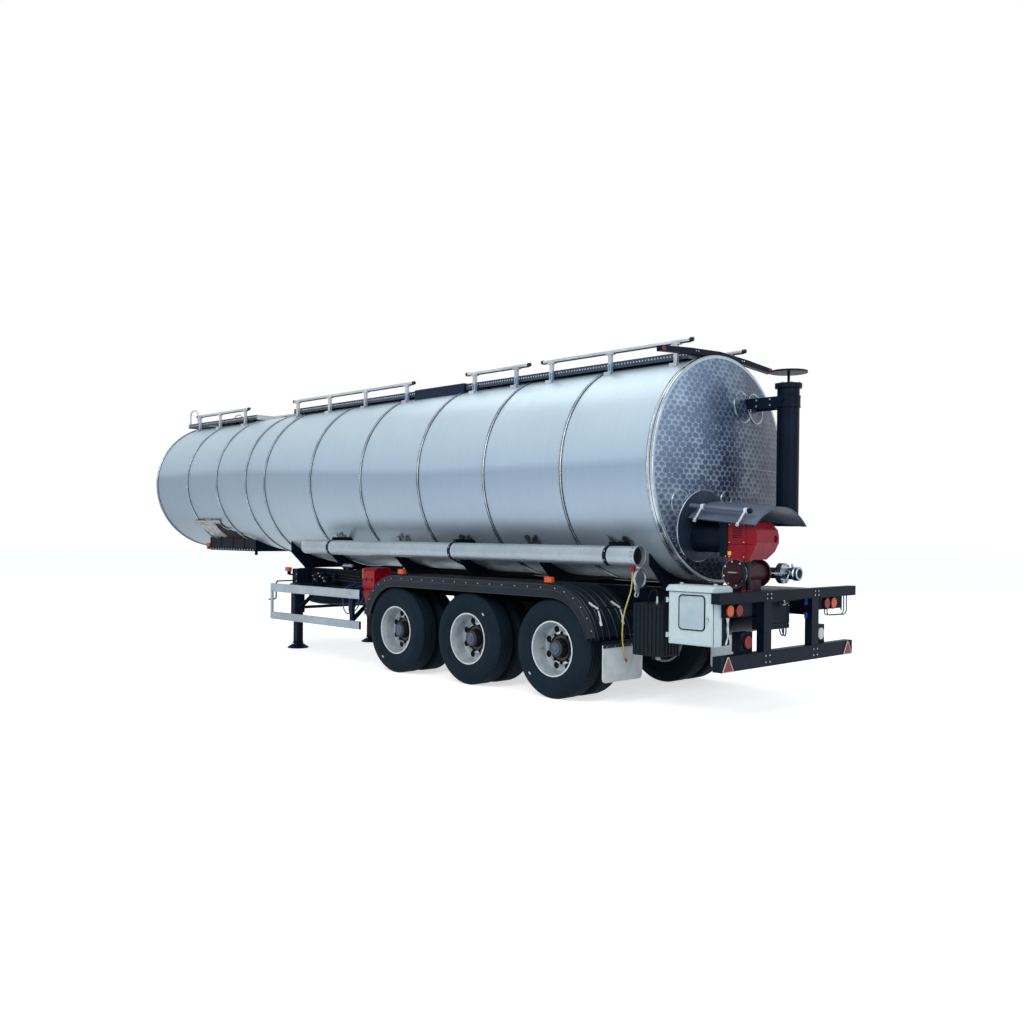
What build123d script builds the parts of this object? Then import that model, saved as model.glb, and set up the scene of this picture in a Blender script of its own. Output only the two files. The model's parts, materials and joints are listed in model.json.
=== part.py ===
from build123d import *
import math
import os

# Insulated tank semi-trailer on three axles, parked on its landing legs
# Millimetres. +X towards the front, +Y to its left, +Z up, ground at Z = 0.
# Stations along X are written from the rear axle and moved by MID when saved.

# Overall stations
MID = 3731.5
AXLE_PITCH = 1310.0
AXLES = (0.0, AXLE_PITCH, 2.0 * AXLE_PITCH)
REAR_END = -2070.0
HALF_WIDTH = 1250.0

# Tank shell: stations x, half width, half height, centre height
TANK_HALF_WIDTH = 1150.0
TANK_HALF_HEIGHT = 1151.0
TANK_CENTRE_Z = 2383.0
NECK_HALF_WIDTH = 1125.0
NECK_HALF_HEIGHT = 1040.0
NECK_CENTRE_Z = 2475.0
TANK_REAR = -1240.0
CONE_REAR = 5300.0
CONE_FRONT = 7100.0
TANK_FRONT = 9330.0
HEAD_DISH = 120.0
HEAD_STEP = 18.0
FIT_GAP = 0.3

# Cladding bands: station and width
BAND_THICKNESS = 8.0
BANDS = (
    (TANK_REAR, 82.0), (-45.0, 34.0), (1133.0, 34.0), (2290.0, 34.0), (3455.0, 34.0), (4610.0, 34.0),
    (5812.0, 34.0), (6360.0, 34.0), (7258.0, 34.0), (8208.0, 34.0), (TANK_FRONT - 40.0, 40.0),
)

# Wheels
TYRE_RADIUS = 518.0
TYRE_WIDTH = 276.0
RIM_RADIUS = 298.0
RIM_WIDTH = 232.0
TWIN_PITCH = 334.0
OUTER_TYRE_Y = 1104.0
HUB_RADIUS = 142.0
HAND_HOLES = 8
SPINDLE_RADIUS = 45.0
DRUM_RADIUS = 205.0

# Chassis
BEAM_Y = 440.0
BEAM_TOP = 1170.0
BEAM_DEPTH = 250.0
BEAM_FLANGE = 130.0
BEAM_WEB = 12.0
BEAM_REAR = -1980.0
BEAM_FRONT = 5760.0
CRADLE_STATIONS = (-900.0, 650.0, 2000.0, 3250.0, 4700.0, 5700.0)

# Brackets on the left beam: x range, reach in Y, z range
BRACKETS = (
    (-1180.0, -980.0, 717.7, 940.0, 990.0),
    (-1840.0, -1640.0, 937.7, 1040.0, 1090.0),
    (3330.0, 3480.0, 793.7, 1040.0, 1090.0),
)
FLAP_X_BAR = -695.0

# Walkway and rails along the top
WALK_HALF = 450.0
WALK_TOP = 3555.0
WALK_SIDE = 70.0
WALKS = ((-1120.0, 2235.0), (3235.0, 6150.0), (7250.0, 9540.0))
RAIL_Y = 470.0
RAIL_Z = 3665.0
RAIL_RADIUS = 21.0
RAILS = (
    (-1190.0, 900.0, (-990.0, -120.0, 750.0)),
    (1100.0, 2200.0, (1320.0, 2050.0)),
    (3230.0, 6120.0, (3380.0, 4300.0, 5170.0, 6010.0)),
    (7440.0, 9180.0, (7560.0, 8380.0, 9080.0)),
)
BOX_REAR = 2250.0
BOX_FRONT = 3220.0
BOX_HALF = 470.0
BOX_TOP = 3560.0
LID_RADIUS = 265.0

# Hose tube along the left side
TUBE_Y = 1150.0
TUBE_Z = 1500.0
TUBE_RADIUS = 95.0
TUBE_WALL = 4.0
TUBE_REAR = -1085.0
TUBE_FRONT = 4685.0
TUBE_STRAPS = (-716.0, 1619.0, 4070.0)

# Landing gear
LEG_X = 5660.0
LEG_Y = 660.0
LEG_BOX = 130.0
LEG_FOOT = 150.0

# Side guard
GUARD_REAR = 3350.0
GUARD_FRONT = 5480.0
GUARD_Y = HALF_WIDTH - 30.0
GUARD_RAILS = ((855.0, 970.0), (470.0, 570.0))
GUARD_HALF = 14.0
GUARD_POSTS = ((3570.0, 30.0), (4940.0, 50.0))

# Mudguards and flaps
MUD_RADIUS = 625.0
MUD_TOP = 1178.0
MUD_INNER = 610.0
MUD_OUTER = HALF_WIDTH - 5.0
MUD_SHEET = 6.0
SKIRT_DEPTH = 128.0
MUD_RIBS = (1160.0, 1080.0, 960.0, 850.0, 740.0, 650.0)

# Rear end
BEAM_HIGH = (1092.0, 1188.0)
BUMPER = (480.0, 620.0)
BUMPER_REAR = -2060.0
BUMPER_HALF = HALF_WIDTH - 45.0
BURNER_Y = 455.0
BURNER_Z = 1700.0
CHIMNEY_X = -1735.0
CHIMNEY_Y = -430.0
CHIMNEY_RADIUS = 112.0
STUB_Z = 1900.0
STUB_RADIUS = 95.0
OUTLET_Y = -300.0
OUTLET_Z = 1330.0


def block(x0, x1, y0, y1, z0, z1):
    """Box between two corners."""
    size = (abs(x1 - x0), abs(y1 - y0), abs(z1 - z0))
    centre = ((x0 + x1) / 2, (y0 + y1) / 2, (z0 + z1) / 2)
    return Pos(*centre) * Box(*size)


def bar(start, end, radius):
    """Round bar between two points."""
    a = Vector(*start)
    b = Vector(*end)
    run = b - a
    plane = Plane(origin=a, z_dir=run.normalized())
    return plane * Cylinder(radius, run.length, align=(Align.CENTER, Align.CENTER, Align.MIN))


def drum_y(x, z, y0, y1, radius):
    """Cylinder across the trailer."""
    return bar((x, min(y0, y1), z), (x, max(y0, y1), z), radius)


def drum_x(y, z, x0, x1, radius):
    """Cylinder along the trailer."""
    return bar((min(x0, x1), y, z), (max(x0, x1), y, z), radius)


def plate_xz(points, y0, y1):
    """Flat plate drawn in X and Z, between two Y values."""
    face = make_face(Polyline(*[(p[0], p[1]) for p in points], close=True))
    plane = Plane(origin=(0, max(y0, y1), 0), x_dir=(1, 0, 0), z_dir=(0, -1, 0))
    return extrude(plane * face, abs(y1 - y0))


def plate_yz(points, x0, x1):
    """Flat plate drawn in Y and Z, between two X values."""
    face = make_face(Polyline(*[(p[0], p[1]) for p in points], close=True))
    plane = Plane(origin=(min(x0, x1), 0, 0), x_dir=(0, 1, 0), z_dir=(1, 0, 0))
    return extrude(plane * face, abs(x1 - x0))


def oval(x, half_width, half_height, centre_z):
    """Elliptical cross section of the tank at a station."""
    plane = Plane(origin=(x, 0, centre_z), x_dir=(0, 1, 0), z_dir=(1, 0, 0))
    return plane * Ellipse(half_width, half_height)


def section(x):
    """Half width, half height and centre height of the shell at a station."""
    share = min(1.0, max(0.0, (x - CONE_REAR) / (CONE_FRONT - CONE_REAR)))
    wide = TANK_HALF_WIDTH + share * (NECK_HALF_WIDTH - TANK_HALF_WIDTH)
    high = TANK_HALF_HEIGHT + share * (NECK_HALF_HEIGHT - TANK_HALF_HEIGHT)
    mid = TANK_CENTRE_Z + share * (NECK_CENTRE_Z - TANK_CENTRE_Z)
    return wide, high, mid


def shell(grow, rear=TANK_REAR, front=TANK_FRONT):
    """Tank body grown by an even amount."""
    stations = [rear, CONE_REAR, CONE_FRONT, front]
    rings = []
    for x in stations:
        wide, high, mid = section(x)
        rings.append(oval(x, wide + grow, high + grow, mid))
    return loft(rings, ruled=True)


def dish(wide, high, centre_z, depth, base_x, way):
    """Shallow dished end: way is -1 at the rear and +1 at the front."""
    curve = (wide * wide + depth * depth) / (2.0 * depth)
    rim = Line((0, 0), (0, wide))
    arc = ThreePointArc(
        (0, wide),
        (depth - curve + math.sqrt(curve * curve - wide * wide / 4.0), wide / 2.0),
        (depth, 0),
    )
    spine = Line((depth, 0), (0, 0))
    face = make_face([rim, arc, spine])
    turned = revolve(face, Axis.X)
    turned = scale(turned, by=(1, 1, high / wide))
    if way < 0:
        turned = Rot(0, 0, 180) * turned
    return Pos(base_x, 0, centre_z) * turned


def tank_under(y, x=0.0):
    """Height of the underside of the shell at a distance from the centreline."""
    wide, high, mid = section(x)
    return mid - high * math.sqrt(max(0.0, 1.0 - (y / wide) ** 2))


def tank_over(y, x=0.0):
    """Height of the top of the shell at a distance from the centreline."""
    wide, high, mid = section(x)
    return mid + high * math.sqrt(max(0.0, 1.0 - (y / wide) ** 2))


def both(shape):
    """The shape and its mirror image across the centreline."""
    return shape + mirror(shape, about=Plane.XZ)


def gather(shapes):
    """One compound from several solids that may touch or stand apart."""
    total = shapes[0]
    for other in shapes[1:]:
        total = total + other
    return total


PARTS = {}


def keep(name, shape):
    """Store a node, moved so that the origin is at the middle of the trailer."""
    moved = Pos(-MID, 0, 0) * shape
    solids = list(moved.solids())
    PARTS[name] = solids[0] if len(solids) == 1 else Compound(children=solids)


# Tank shell, dished ends and bands
tank = shell(0.0)
tank_clear = shell(FIT_GAP, TANK_REAR - 200.0, TANK_FRONT + 200.0)
keep("tank_shell", tank)

rear_head = dish(TANK_HALF_WIDTH - HEAD_STEP, TANK_HALF_HEIGHT - HEAD_STEP, TANK_CENTRE_Z, HEAD_DISH, TANK_REAR, -1)
front_head = dish(NECK_HALF_WIDTH - HEAD_STEP, NECK_HALF_HEIGHT - HEAD_STEP, NECK_CENTRE_Z, HEAD_DISH, TANK_FRONT, 1)
keep("rear_head", rear_head)
keep("front_head", front_head)

head_clear = dish(
    TANK_HALF_WIDTH - HEAD_STEP, TANK_HALF_HEIGHT - HEAD_STEP, TANK_CENTRE_Z, HEAD_DISH, TANK_REAR - 2 * FIT_GAP, -1
)

bands = []
band_clear = []
for station, width in BANDS:
    wide, high, mid = section(station)
    near_wide, near_high, near_mid = section(station + width)
    hoop = loft(
        [
            oval(station, wide + BAND_THICKNESS, high + BAND_THICKNESS, mid),
            oval(station + width, near_wide + BAND_THICKNESS, near_high + BAND_THICKNESS, near_mid),
        ],
        ruled=True,
    )
    core = loft(
        [
            oval(station, wide + FIT_GAP, high + FIT_GAP, mid),
            oval(station + width, near_wide + FIT_GAP, near_high + FIT_GAP, near_mid),
        ],
        ruled=True,
    )
    bands.append(hoop - core)
    grow = BAND_THICKNESS + FIT_GAP
    outer = loft(
        [
            oval(station - FIT_GAP, wide + grow, high + grow, mid),
            oval(station + width + FIT_GAP, near_wide + grow, near_high + grow, near_mid),
        ],
        ruled=True,
    )
    band_clear.append((station, outer))
keep("tank_bands", Compound(children=[solid for item in bands for solid in item.solids()]))



def off_bands(shape, start, end):
    """The shape cut clear of the bands between two stations."""
    for station, outer in band_clear:
        if start - 100 < station < end + 100:
            shape = shape - outer
    return shape


# Walkway decks with side channels
walks = []
for start, end in WALKS:
    deck = block(start, end, -WALK_HALF, WALK_HALF, WALK_TOP - 6, WALK_TOP)
    side = block(start, end, WALK_HALF - 5, WALK_HALF, WALK_TOP - WALK_SIDE, WALK_TOP)
    rib = block(start, start + 6, -WALK_HALF, WALK_HALF, WALK_TOP - WALK_SIDE, WALK_TOP)
    far = block(end - 6, end, -WALK_HALF, WALK_HALF, WALK_TOP - WALK_SIDE, WALK_TOP)
    walks.append(off_bands((deck + both(side) + rib + far) - tank_clear, start, end))
keep("walkway", Compound(children=[solid for item in walks for solid in item.solids()]))

# Handrails with posts on feet
rails = []
for start, end, posts in RAILS:
    one = drum_x(RAIL_Y, RAIL_Z, start, end, RAIL_RADIUS)
    for x in posts:
        one = one + block(x - 22, x + 22, RAIL_Y - 18, RAIL_Y + 18, 3380, RAIL_Z)
        one = one + block(x - 45, x + 45, RAIL_Y - 18, RAIL_Y + 60, 3380, tank_over(RAIL_Y, x) + 10)
    one = one - tank_clear - block(start - 50, end + 50, 0, WALK_HALF + FIT_GAP, 3300, WALK_TOP + 20)
    one = off_bands(one, start, end)
    rails.append(one)
rail_pairs = [both(item) for item in rails]
keep("handrails", Compound(children=[solid for item in rail_pairs for solid in item.solids()]))

# Spill box round the manhole, with the neck and its hinged lid
spill = block(BOX_REAR, BOX_FRONT, -BOX_HALF, BOX_HALF, 3380, BOX_TOP)
spill = spill - block(BOX_REAR + 8, BOX_FRONT - 8, -BOX_HALF + 8, BOX_HALF - 8, 3370, BOX_TOP + 10)
spill = off_bands(spill - tank_clear, BOX_REAR, BOX_FRONT)
keep("spill_box", spill)
MAN_X = (BOX_REAR + BOX_FRONT) / 2.0 + 60.0
MAN_TOP = BOX_TOP + 12.0
neck = bar((MAN_X, 0, 3380), (MAN_X, 0, MAN_TOP), LID_RADIUS - 15) - bar(
    (MAN_X, 0, 3300), (MAN_X, 0, MAN_TOP + 5), LID_RADIUS - 23
)
ear_x = MAN_X - LID_RADIUS - 40.0
EAR_Z = MAN_TOP + 22.0
neck = neck + block(ear_x - 14, MAN_X - LID_RADIUS + 22, -62, -50, MAN_TOP - 60, EAR_Z + 14)
neck = neck + block(ear_x - 14, MAN_X - LID_RADIUS + 22, 50, 62, MAN_TOP - 60, EAR_Z + 14)
neck = neck - bar((MAN_X, 0, MAN_TOP), (MAN_X, 0, MAN_TOP + 100), LID_RADIUS + 8)
neck = neck + drum_y(ear_x, EAR_Z, -62, 62, 8)
neck = neck - tank_clear
keep("manhole_neck", neck)
lid = bar((MAN_X, 0, MAN_TOP + 1), (MAN_X, 0, MAN_TOP + 11), LID_RADIUS)
lid = lid + bar((MAN_X, 0, MAN_TOP + 11), (MAN_X, 0, MAN_TOP + 26), LID_RADIUS - 60)
lid_arm = block(ear_x - 15, MAN_X - LID_RADIUS + 60, -40, 40, EAR_Z - 13, EAR_Z + 15)
lid_arm = lid_arm - drum_y(ear_x, EAR_Z, -70, 70, 8.5)
lid_arm = lid_arm - block(ear_x - 30, MAN_X - LID_RADIUS + 14, -50, 50, EAR_Z - 30, MAN_TOP + 1)
lid = lid + lid_arm
keep("manhole_lid", lid)

# Front ladder and the hoops at the head of the walkway
LADDER_X = TANK_FRONT + HEAD_DISH + 80.0
ladder = []
for side in (-1, 1):
    ladder.append(bar((LADDER_X, side * 220, 1500), (LADDER_X, side * 220, WALK_TOP - WALK_SIDE), 18))
for step in range(7):
    ladder.append(drum_y(LADDER_X, 1600 + step * 290, -220, 220, 12))
for z in (1700.0, 2475.0, 3250.0):
    for side in (-1, 1):
        ladder.append(bar((TANK_FRONT - 40, side * 220, z), (LADDER_X, side * 220, z), 12))
front_clear = dish(
    NECK_HALF_WIDTH - HEAD_STEP, NECK_HALF_HEIGHT - HEAD_STEP, NECK_CENTRE_Z, HEAD_DISH, TANK_FRONT + FIT_GAP, 1
)
ladder_solid = gather(ladder) - front_clear - block(TANK_FRONT - 200, TANK_FRONT + FIT_GAP, -400, 400, 1400, 3700)
HOOP_TOP = 3785.0
hoop_path = FilletPolyline(
    (9250, WALK_HALF - 25, WALK_TOP + FIT_GAP), (9250, WALK_HALF - 25, HOOP_TOP),
    (9520, WALK_HALF - 25, HOOP_TOP), (9520, WALK_HALF - 25, WALK_TOP + FIT_GAP), radius=90,
)
hoop_section = Plane(origin=hoop_path @ 0, z_dir=hoop_path % 0) * Circle(14)
hoop_left = sweep(hoop_section, path=hoop_path)
keep("front_ladder", Compound(children=list(ladder_solid.solids()) + list(both(hoop_left).solids())))

# Hose tube, its straps and the hinged end lid
tube = drum_x(TUBE_Y, TUBE_Z, TUBE_REAR, TUBE_FRONT, TUBE_RADIUS)
tube = tube - drum_x(TUBE_Y, TUBE_Z, TUBE_REAR - 5, TUBE_FRONT - 6, TUBE_RADIUS - TUBE_WALL)
tube = tube + (
    drum_x(TUBE_Y, TUBE_Z, TUBE_REAR, TUBE_REAR + 14, TUBE_RADIUS + 5)
    - drum_x(TUBE_Y, TUBE_Z, TUBE_REAR - 5, TUBE_REAR + 20, TUBE_RADIUS - TUBE_WALL)
)
TUBE_PIN_X = TUBE_REAR - 8.0
TUBE_PIN_Z = TUBE_Z - TUBE_RADIUS - 13.0
for side in (-1, 1):
    y = TUBE_Y + side * 19.0
    tube = tube + block(TUBE_PIN_X - 8, TUBE_REAR + 20, y - 3, y + 3, TUBE_PIN_Z - 8, TUBE_PIN_Z + 6)
    tube = tube + block(TUBE_REAR + 2, TUBE_REAR + 20, y - 3, y + 3, TUBE_PIN_Z + 6, TUBE_Z - TUBE_RADIUS + 2)
tube = tube + drum_y(TUBE_PIN_X, TUBE_PIN_Z, TUBE_Y - 22, TUBE_Y + 22, 4)
keep("hose_tube", tube)
LID_DROP = TUBE_PIN_Z - (TUBE_Z - TUBE_PIN_Z)
tube_lid = drum_x(TUBE_Y, LID_DROP, TUBE_PIN_X - 3, TUBE_PIN_X + 5, TUBE_RADIUS)
tube_lid = tube_lid + (
    drum_x(TUBE_Y, LID_DROP, TUBE_PIN_X - 11, TUBE_PIN_X - 3, TUBE_RADIUS - 11)
    - drum_x(TUBE_Y, LID_DROP, TUBE_PIN_X - 12, TUBE_PIN_X - 3, TUBE_RADIUS - 17)
)
tube_lid = tube_lid + block(
    TUBE_PIN_X - 3, TUBE_PIN_X + 5, TUBE_Y - 10, TUBE_Y + 10, TUBE_PIN_Z - 30, TUBE_PIN_Z
)
tube_lid = tube_lid + drum_y(TUBE_PIN_X, TUBE_PIN_Z, TUBE_Y - 10, TUBE_Y + 10, 8)
tube_lid = tube_lid - drum_y(TUBE_PIN_X, TUBE_PIN_Z, TUBE_Y - 30, TUBE_Y + 30, 4.3)
keep("hose_tube_lid", tube_lid)
straps = []
for x in TUBE_STRAPS:
    hoop = drum_x(TUBE_Y, TUBE_Z, x - 20, x + 20, TUBE_RADIUS + 5) - drum_x(
        TUBE_Y, TUBE_Z, x - 30, x + 30, TUBE_RADIUS + FIT_GAP
    )
    arm = block(x - 20, x + 20, 700, TUBE_Y, TUBE_Z + TUBE_RADIUS - 10, TUBE_Z + TUBE_RADIUS + 40)
    arm = arm - drum_x(TUBE_Y, TUBE_Z, x - 30, x + 30, TUBE_RADIUS + 2) - tank_clear
    straps.append(hoop + arm)
keep("tube_straps", Compound(children=[solid for item in straps for solid in item.solids()]))

# Chassis beams, cross members and cradles under the shell
beam = block(BEAM_REAR, BEAM_FRONT, BEAM_Y - BEAM_WEB / 2, BEAM_Y + BEAM_WEB / 2, BEAM_TOP - BEAM_DEPTH, BEAM_TOP)
beam = beam + block(BEAM_REAR, BEAM_FRONT, BEAM_Y - BEAM_FLANGE / 2, BEAM_Y + BEAM_FLANGE / 2, BEAM_TOP - 14, BEAM_TOP)
beam = beam + block(
    BEAM_REAR, BEAM_FRONT, BEAM_Y - BEAM_FLANGE / 2, BEAM_Y + BEAM_FLANGE / 2,
    BEAM_TOP - BEAM_DEPTH, BEAM_TOP - BEAM_DEPTH + 14,
)
frame = both(beam)
for x in CRADLE_STATIONS:
    frame = frame + block(
        x - 40, x + 40, -BEAM_Y, BEAM_Y, BEAM_TOP - BEAM_DEPTH + 60, BEAM_TOP - BEAM_DEPTH + 160
    )
    cradle = block(x - 8, x + 8, -760, 760, BEAM_TOP, 1560) - tank_clear
    cradle = cradle - both(plate_xz([(x - 20, 1160), (x + 20, 1160), (x + 20, 1165), (x - 20, 1165)], 500, 780))
    trimmed = cradle
    for side in (-1, 1):
        corner = plate_yz([(side * 520, 1169), (side * 790, 1169), (side * 790, 1430)], x - 20, x + 20)
        trimmed = trimmed - corner
    frame = frame + trimmed
for x0, x1, y1, z0, z1 in BRACKETS:
    frame = frame + block(x0, x1, BEAM_Y, y1, z0, z1)
for side in (-1, 1):
    frame = frame + block(FLAP_X_BAR - 8, FLAP_X_BAR + 8, side * 560, side * 1215, 612.3, 648)
    frame = frame + block(FLAP_X_BAR - 8, FLAP_X_BAR + 8, side * 560, side * 600, 612.3, 985)
    frame = frame + block(FLAP_X_BAR - 8, FLAP_X_BAR + 8, side * BEAM_Y, side * 600, 945, 985)
for x, half in GUARD_POSTS:
    for side in (-1, 1):
        reach = GUARD_Y - GUARD_HALF - FIT_GAP
        frame = frame + block(x - half, x + half, side * (reach - 40), side * reach, 475, 985)
        frame = frame + block(x - half, x + half, side * BEAM_Y, side * reach, 945, 985)
        brace = plate_yz(
            [(side * 700, 945), (side * 770, 945), (side * (reach - 10), 600), (side * (reach - 10), 520)], x - 8, x + 8
        )
        frame = frame + brace
keep("chassis_frame", frame)

# Axles with their springs, and the hangers that hold the spring ends
SPRING_HALF = AXLE_PITCH / 2.0 - 15.0
SPRING_LOW = TYRE_RADIUS + 70.0
SPRING_HIGH = TYRE_RADIUS + 130.0
axles = []
for x in AXLES:
    axle = block(x - 70, x + 70, -620, 620, TYRE_RADIUS - 70, TYRE_RADIUS + 70)
    axle = axle + drum_y(x, TYRE_RADIUS, -1010, 1010, SPINDLE_RADIUS)
    spring = block(x - SPRING_HALF, x + SPRING_HALF, BEAM_Y - 38, BEAM_Y + 38, SPRING_LOW + 36, SPRING_HIGH)
    spring = spring + block(x - 420, x + 420, BEAM_Y - 38, BEAM_Y + 38, SPRING_LOW + 18, SPRING_LOW + 36)
    spring = spring + block(x - 240, x + 240, BEAM_Y - 38, BEAM_Y + 38, SPRING_LOW, SPRING_LOW + 18)
    spring = spring + block(x - 90, x + 90, BEAM_Y - 60, BEAM_Y + 60, SPRING_HIGH, SPRING_HIGH + 24)
    axles.append(axle + both(spring))
keep("axles", Compound(children=[solid for item in axles for solid in item.solids()]))
hangers = []
for x in (-AXLE_PITCH / 2, AXLE_PITCH / 2, AXLE_PITCH * 1.5, AXLE_PITCH * 2.5):
    hanger = plate_xz(
        [(x - 150, 919.7), (x + 150, 919.7), (x + 80, 700), (x + 60, 580), (x - 60, 580), (x - 80, 700)],
        BEAM_Y - 48, BEAM_Y + 48,
    )
    slot = block(x - 190, x + 190, BEAM_Y - 38.3, BEAM_Y + 38.3, SPRING_LOW + 36 - FIT_GAP, SPRING_HIGH + FIT_GAP)
    hangers.append(both(hanger - slot))
keep("spring_hangers", Compound(children=[solid for item in hangers for solid in item.solids()]))


def tyre(y):
    """Tyre centred at a Y value, on the axle line at X = 0."""
    half = TYRE_WIDTH / 2
    rim = RIM_WIDTH / 2
    profile = [
        (-rim, RIM_RADIUS - 12), (-rim, RIM_RADIUS + 6), (-half, RIM_RADIUS + 105), (-half + 22, TYRE_RADIUS - 22),
        (-half + 48, TYRE_RADIUS), (half - 48, TYRE_RADIUS), (half - 22, TYRE_RADIUS - 22),
        (half, RIM_RADIUS + 105), (rim, RIM_RADIUS + 6), (rim, RIM_RADIUS - 12),
    ]
    face = make_face(Polyline(*[(y + p[0], p[1]) for p in profile], close=True))
    plane = Plane(origin=(0, 0, 0), x_dir=(0, 1, 0), z_dir=(1, 0, 0))
    return revolve(plane * face, Axis.Y)


def turned_y(points):
    """Solid turned about the wheel's axis from (y, radius) points."""
    face = make_face(Polyline(*points, close=True))
    plane = Plane(origin=(0, 0, 0), x_dir=(0, 1, 0), z_dir=(1, 0, 0))
    return revolve(plane * face, Axis.Y)


def rims():
    """Both rims, the hub and the brake drum of a left twin wheel."""
    out_y = OUTER_TYRE_Y + RIM_WIDTH / 2
    face_y = OUTER_TYRE_Y - 55.0
    r = RIM_RADIUS - 12.0
    outer = turned_y(
        [
            (out_y - FIT_GAP, r), (out_y - FIT_GAP, r - 12), (out_y - 60, r - 28), (face_y + 12, r - 40),
            (face_y + 12, HUB_RADIUS), (face_y, HUB_RADIUS), (face_y, r - 40), (out_y - RIM_WIDTH, r - 20),
            (out_y - RIM_WIDTH, r),
        ]
    )
    for n in range(HAND_HOLES):
        angle = 2 * math.pi * (n + 0.5) / HAND_HOLES
        hole = drum_y(205 * math.cos(angle), 205 * math.sin(angle), face_y - 10, face_y + 25, 29)
        outer = outer - hole
    in_mid = OUTER_TYRE_Y - TWIN_PITCH
    inner = turned_y(
        [
            (in_mid + RIM_WIDTH / 2, r), (in_mid + RIM_WIDTH / 2, r - 20), (face_y - 12, r - 40),
            (face_y - 12, HUB_RADIUS), (face_y, HUB_RADIUS), (face_y, r - 60), (in_mid + RIM_WIDTH / 2 + 10, r - 14),
            (in_mid + RIM_WIDTH / 2 + 10, r),
        ]
    )
    inner_ring = turned_y(
        [
            (in_mid - RIM_WIDTH / 2, r), (in_mid - RIM_WIDTH / 2, r - 22), (in_mid + RIM_WIDTH / 2, r - 30),
            (in_mid + RIM_WIDTH / 2, r),
        ]
    )
    hub = turned_y(
        [
            (face_y - 60, SPINDLE_RADIUS + 1), (face_y - 60, HUB_RADIUS), (face_y + 30, HUB_RADIUS),
            (face_y + 30, 105), (face_y + 110, 88), (face_y + 118, 70), (face_y + 118, 0),
            (1012, 0), (1012, SPINDLE_RADIUS + 1),
        ]
    )
    drum = turned_y([(640, SPINDLE_RADIUS + 1), (640, DRUM_RADIUS), (face_y - 60, DRUM_RADIUS), (face_y - 60, SPINDLE_RADIUS + 1)])
    return outer + inner + inner_ring + hub + drum


left_tyres = tyre(OUTER_TYRE_Y) + tyre(OUTER_TYRE_Y - TWIN_PITCH)
left_rims = rims()
right_tyres = mirror(left_tyres, about=Plane.XZ)
right_rims = mirror(left_rims, about=Plane.XZ)
for index, x in enumerate(AXLES):
    keep("tyres_left_" + str(index + 1), Pos(x, 0, TYRE_RADIUS) * left_tyres)
    keep("rims_left_" + str(index + 1), Pos(x, 0, TYRE_RADIUS) * left_rims)
    keep("tyres_right_" + str(index + 1), Pos(x, 0, TYRE_RADIUS) * right_tyres)
    keep("rims_right_" + str(index + 1), Pos(x, 0, TYRE_RADIUS) * right_rims)

# Mudguards: a flat top with a quarter round over each end wheel
def guard_line(radius):
    """Outline of the mudguard at one radius, from rear to front."""
    low = math.radians(12)
    top = MUD_TOP + (radius - MUD_RADIUS)
    first = AXLES[0]
    last = AXLES[2]
    lift = top - radius
    rear = (first - radius * math.cos(low), lift + radius * math.sin(low))
    rear_mid = (first - radius * math.cos(math.radians(50)), lift + radius * math.sin(math.radians(50)))
    front_mid = (last + radius * math.cos(math.radians(50)), rear_mid[1])
    front = (last + radius * math.cos(low), rear[1])
    return rear, rear_mid, (first, top), (last, top), front_mid, front


out = guard_line(MUD_RADIUS)
inn = guard_line(MUD_RADIUS - MUD_SHEET)
edge = [
    ThreePointArc(out[0], out[1], out[2]), Line(out[2], out[3]), ThreePointArc(out[3], out[4], out[5]),
    Line(out[5], inn[5]), ThreePointArc(inn[5], inn[4], inn[3]), Line(inn[3], inn[2]),
    ThreePointArc(inn[2], inn[1], inn[0]), Line(inn[0], out[0]),
]
guard_face = make_face(edge)
guard_plane = Plane(origin=(0, MUD_OUTER, 0), x_dir=(1, 0, 0), z_dir=(0, -1, 0))
guard = extrude(guard_plane * guard_face, MUD_OUTER - MUD_INNER)
STAY_REACH = BEAM_Y + BEAM_WEB / 2 + FIT_GAP
STAYS = ((-465.0, 955.0), (655.0, 1136.0), (1965.0, 1136.0), (3085.0, 955.0))
for x, z in STAYS:
    guard = guard + block(x - 20, x + 20, STAY_REACH, 1150, z - 18, z + 18)
for x in (50.0, 2512.0):
    guard = guard + block(x - 40, x + 40, 1205, 1210, MUD_TOP - 3, 1203 - FIT_GAP)
    guard = guard + block(x - 40, x + 40, 1205, 1230, 1198, 1203 - FIT_GAP)
skirt = [
    ThreePointArc(out[0], out[1], out[2]), Line(out[2], out[3]), ThreePointArc(out[3], out[4], out[5]),
]
deep = guard_line(MUD_RADIUS - SKIRT_DEPTH)
skirt_face = make_face(
    skirt + [
        Line(out[5], deep[5]), ThreePointArc(deep[5], deep[4], deep[3]), Line(deep[3], deep[2]),
        ThreePointArc(deep[2], deep[1], deep[0]), Line(deep[0], out[0]),
    ]
)
guard = guard + extrude(guard_plane * skirt_face, 5)
for y in MUD_RIBS:
    ridge_out = guard_line(MUD_RADIUS + 7)
    ridge_in = guard_line(MUD_RADIUS - 2)
    ridge = make_face(
        [
            ThreePointArc(ridge_out[0], ridge_out[1], ridge_out[2]), Line(ridge_out[2], ridge_out[3]),
            ThreePointArc(ridge_out[3], ridge_out[4], ridge_out[5]), Line(ridge_out[5], ridge_in[5]),
            ThreePointArc(ridge_in[5], ridge_in[4], ridge_in[3]), Line(ridge_in[3], ridge_in[2]),
            ThreePointArc(ridge_in[2], ridge_in[1], ridge_in[0]), Line(ridge_in[0], ridge_out[0]),
        ]
    )
    guard = guard + extrude(Plane(origin=(0, y, 0), x_dir=(1, 0, 0), z_dir=(0, -1, 0)) * ridge, 14)
keep("mudguard_left", guard)
keep("mudguard_right", mirror(guard, about=Plane.XZ))

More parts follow.
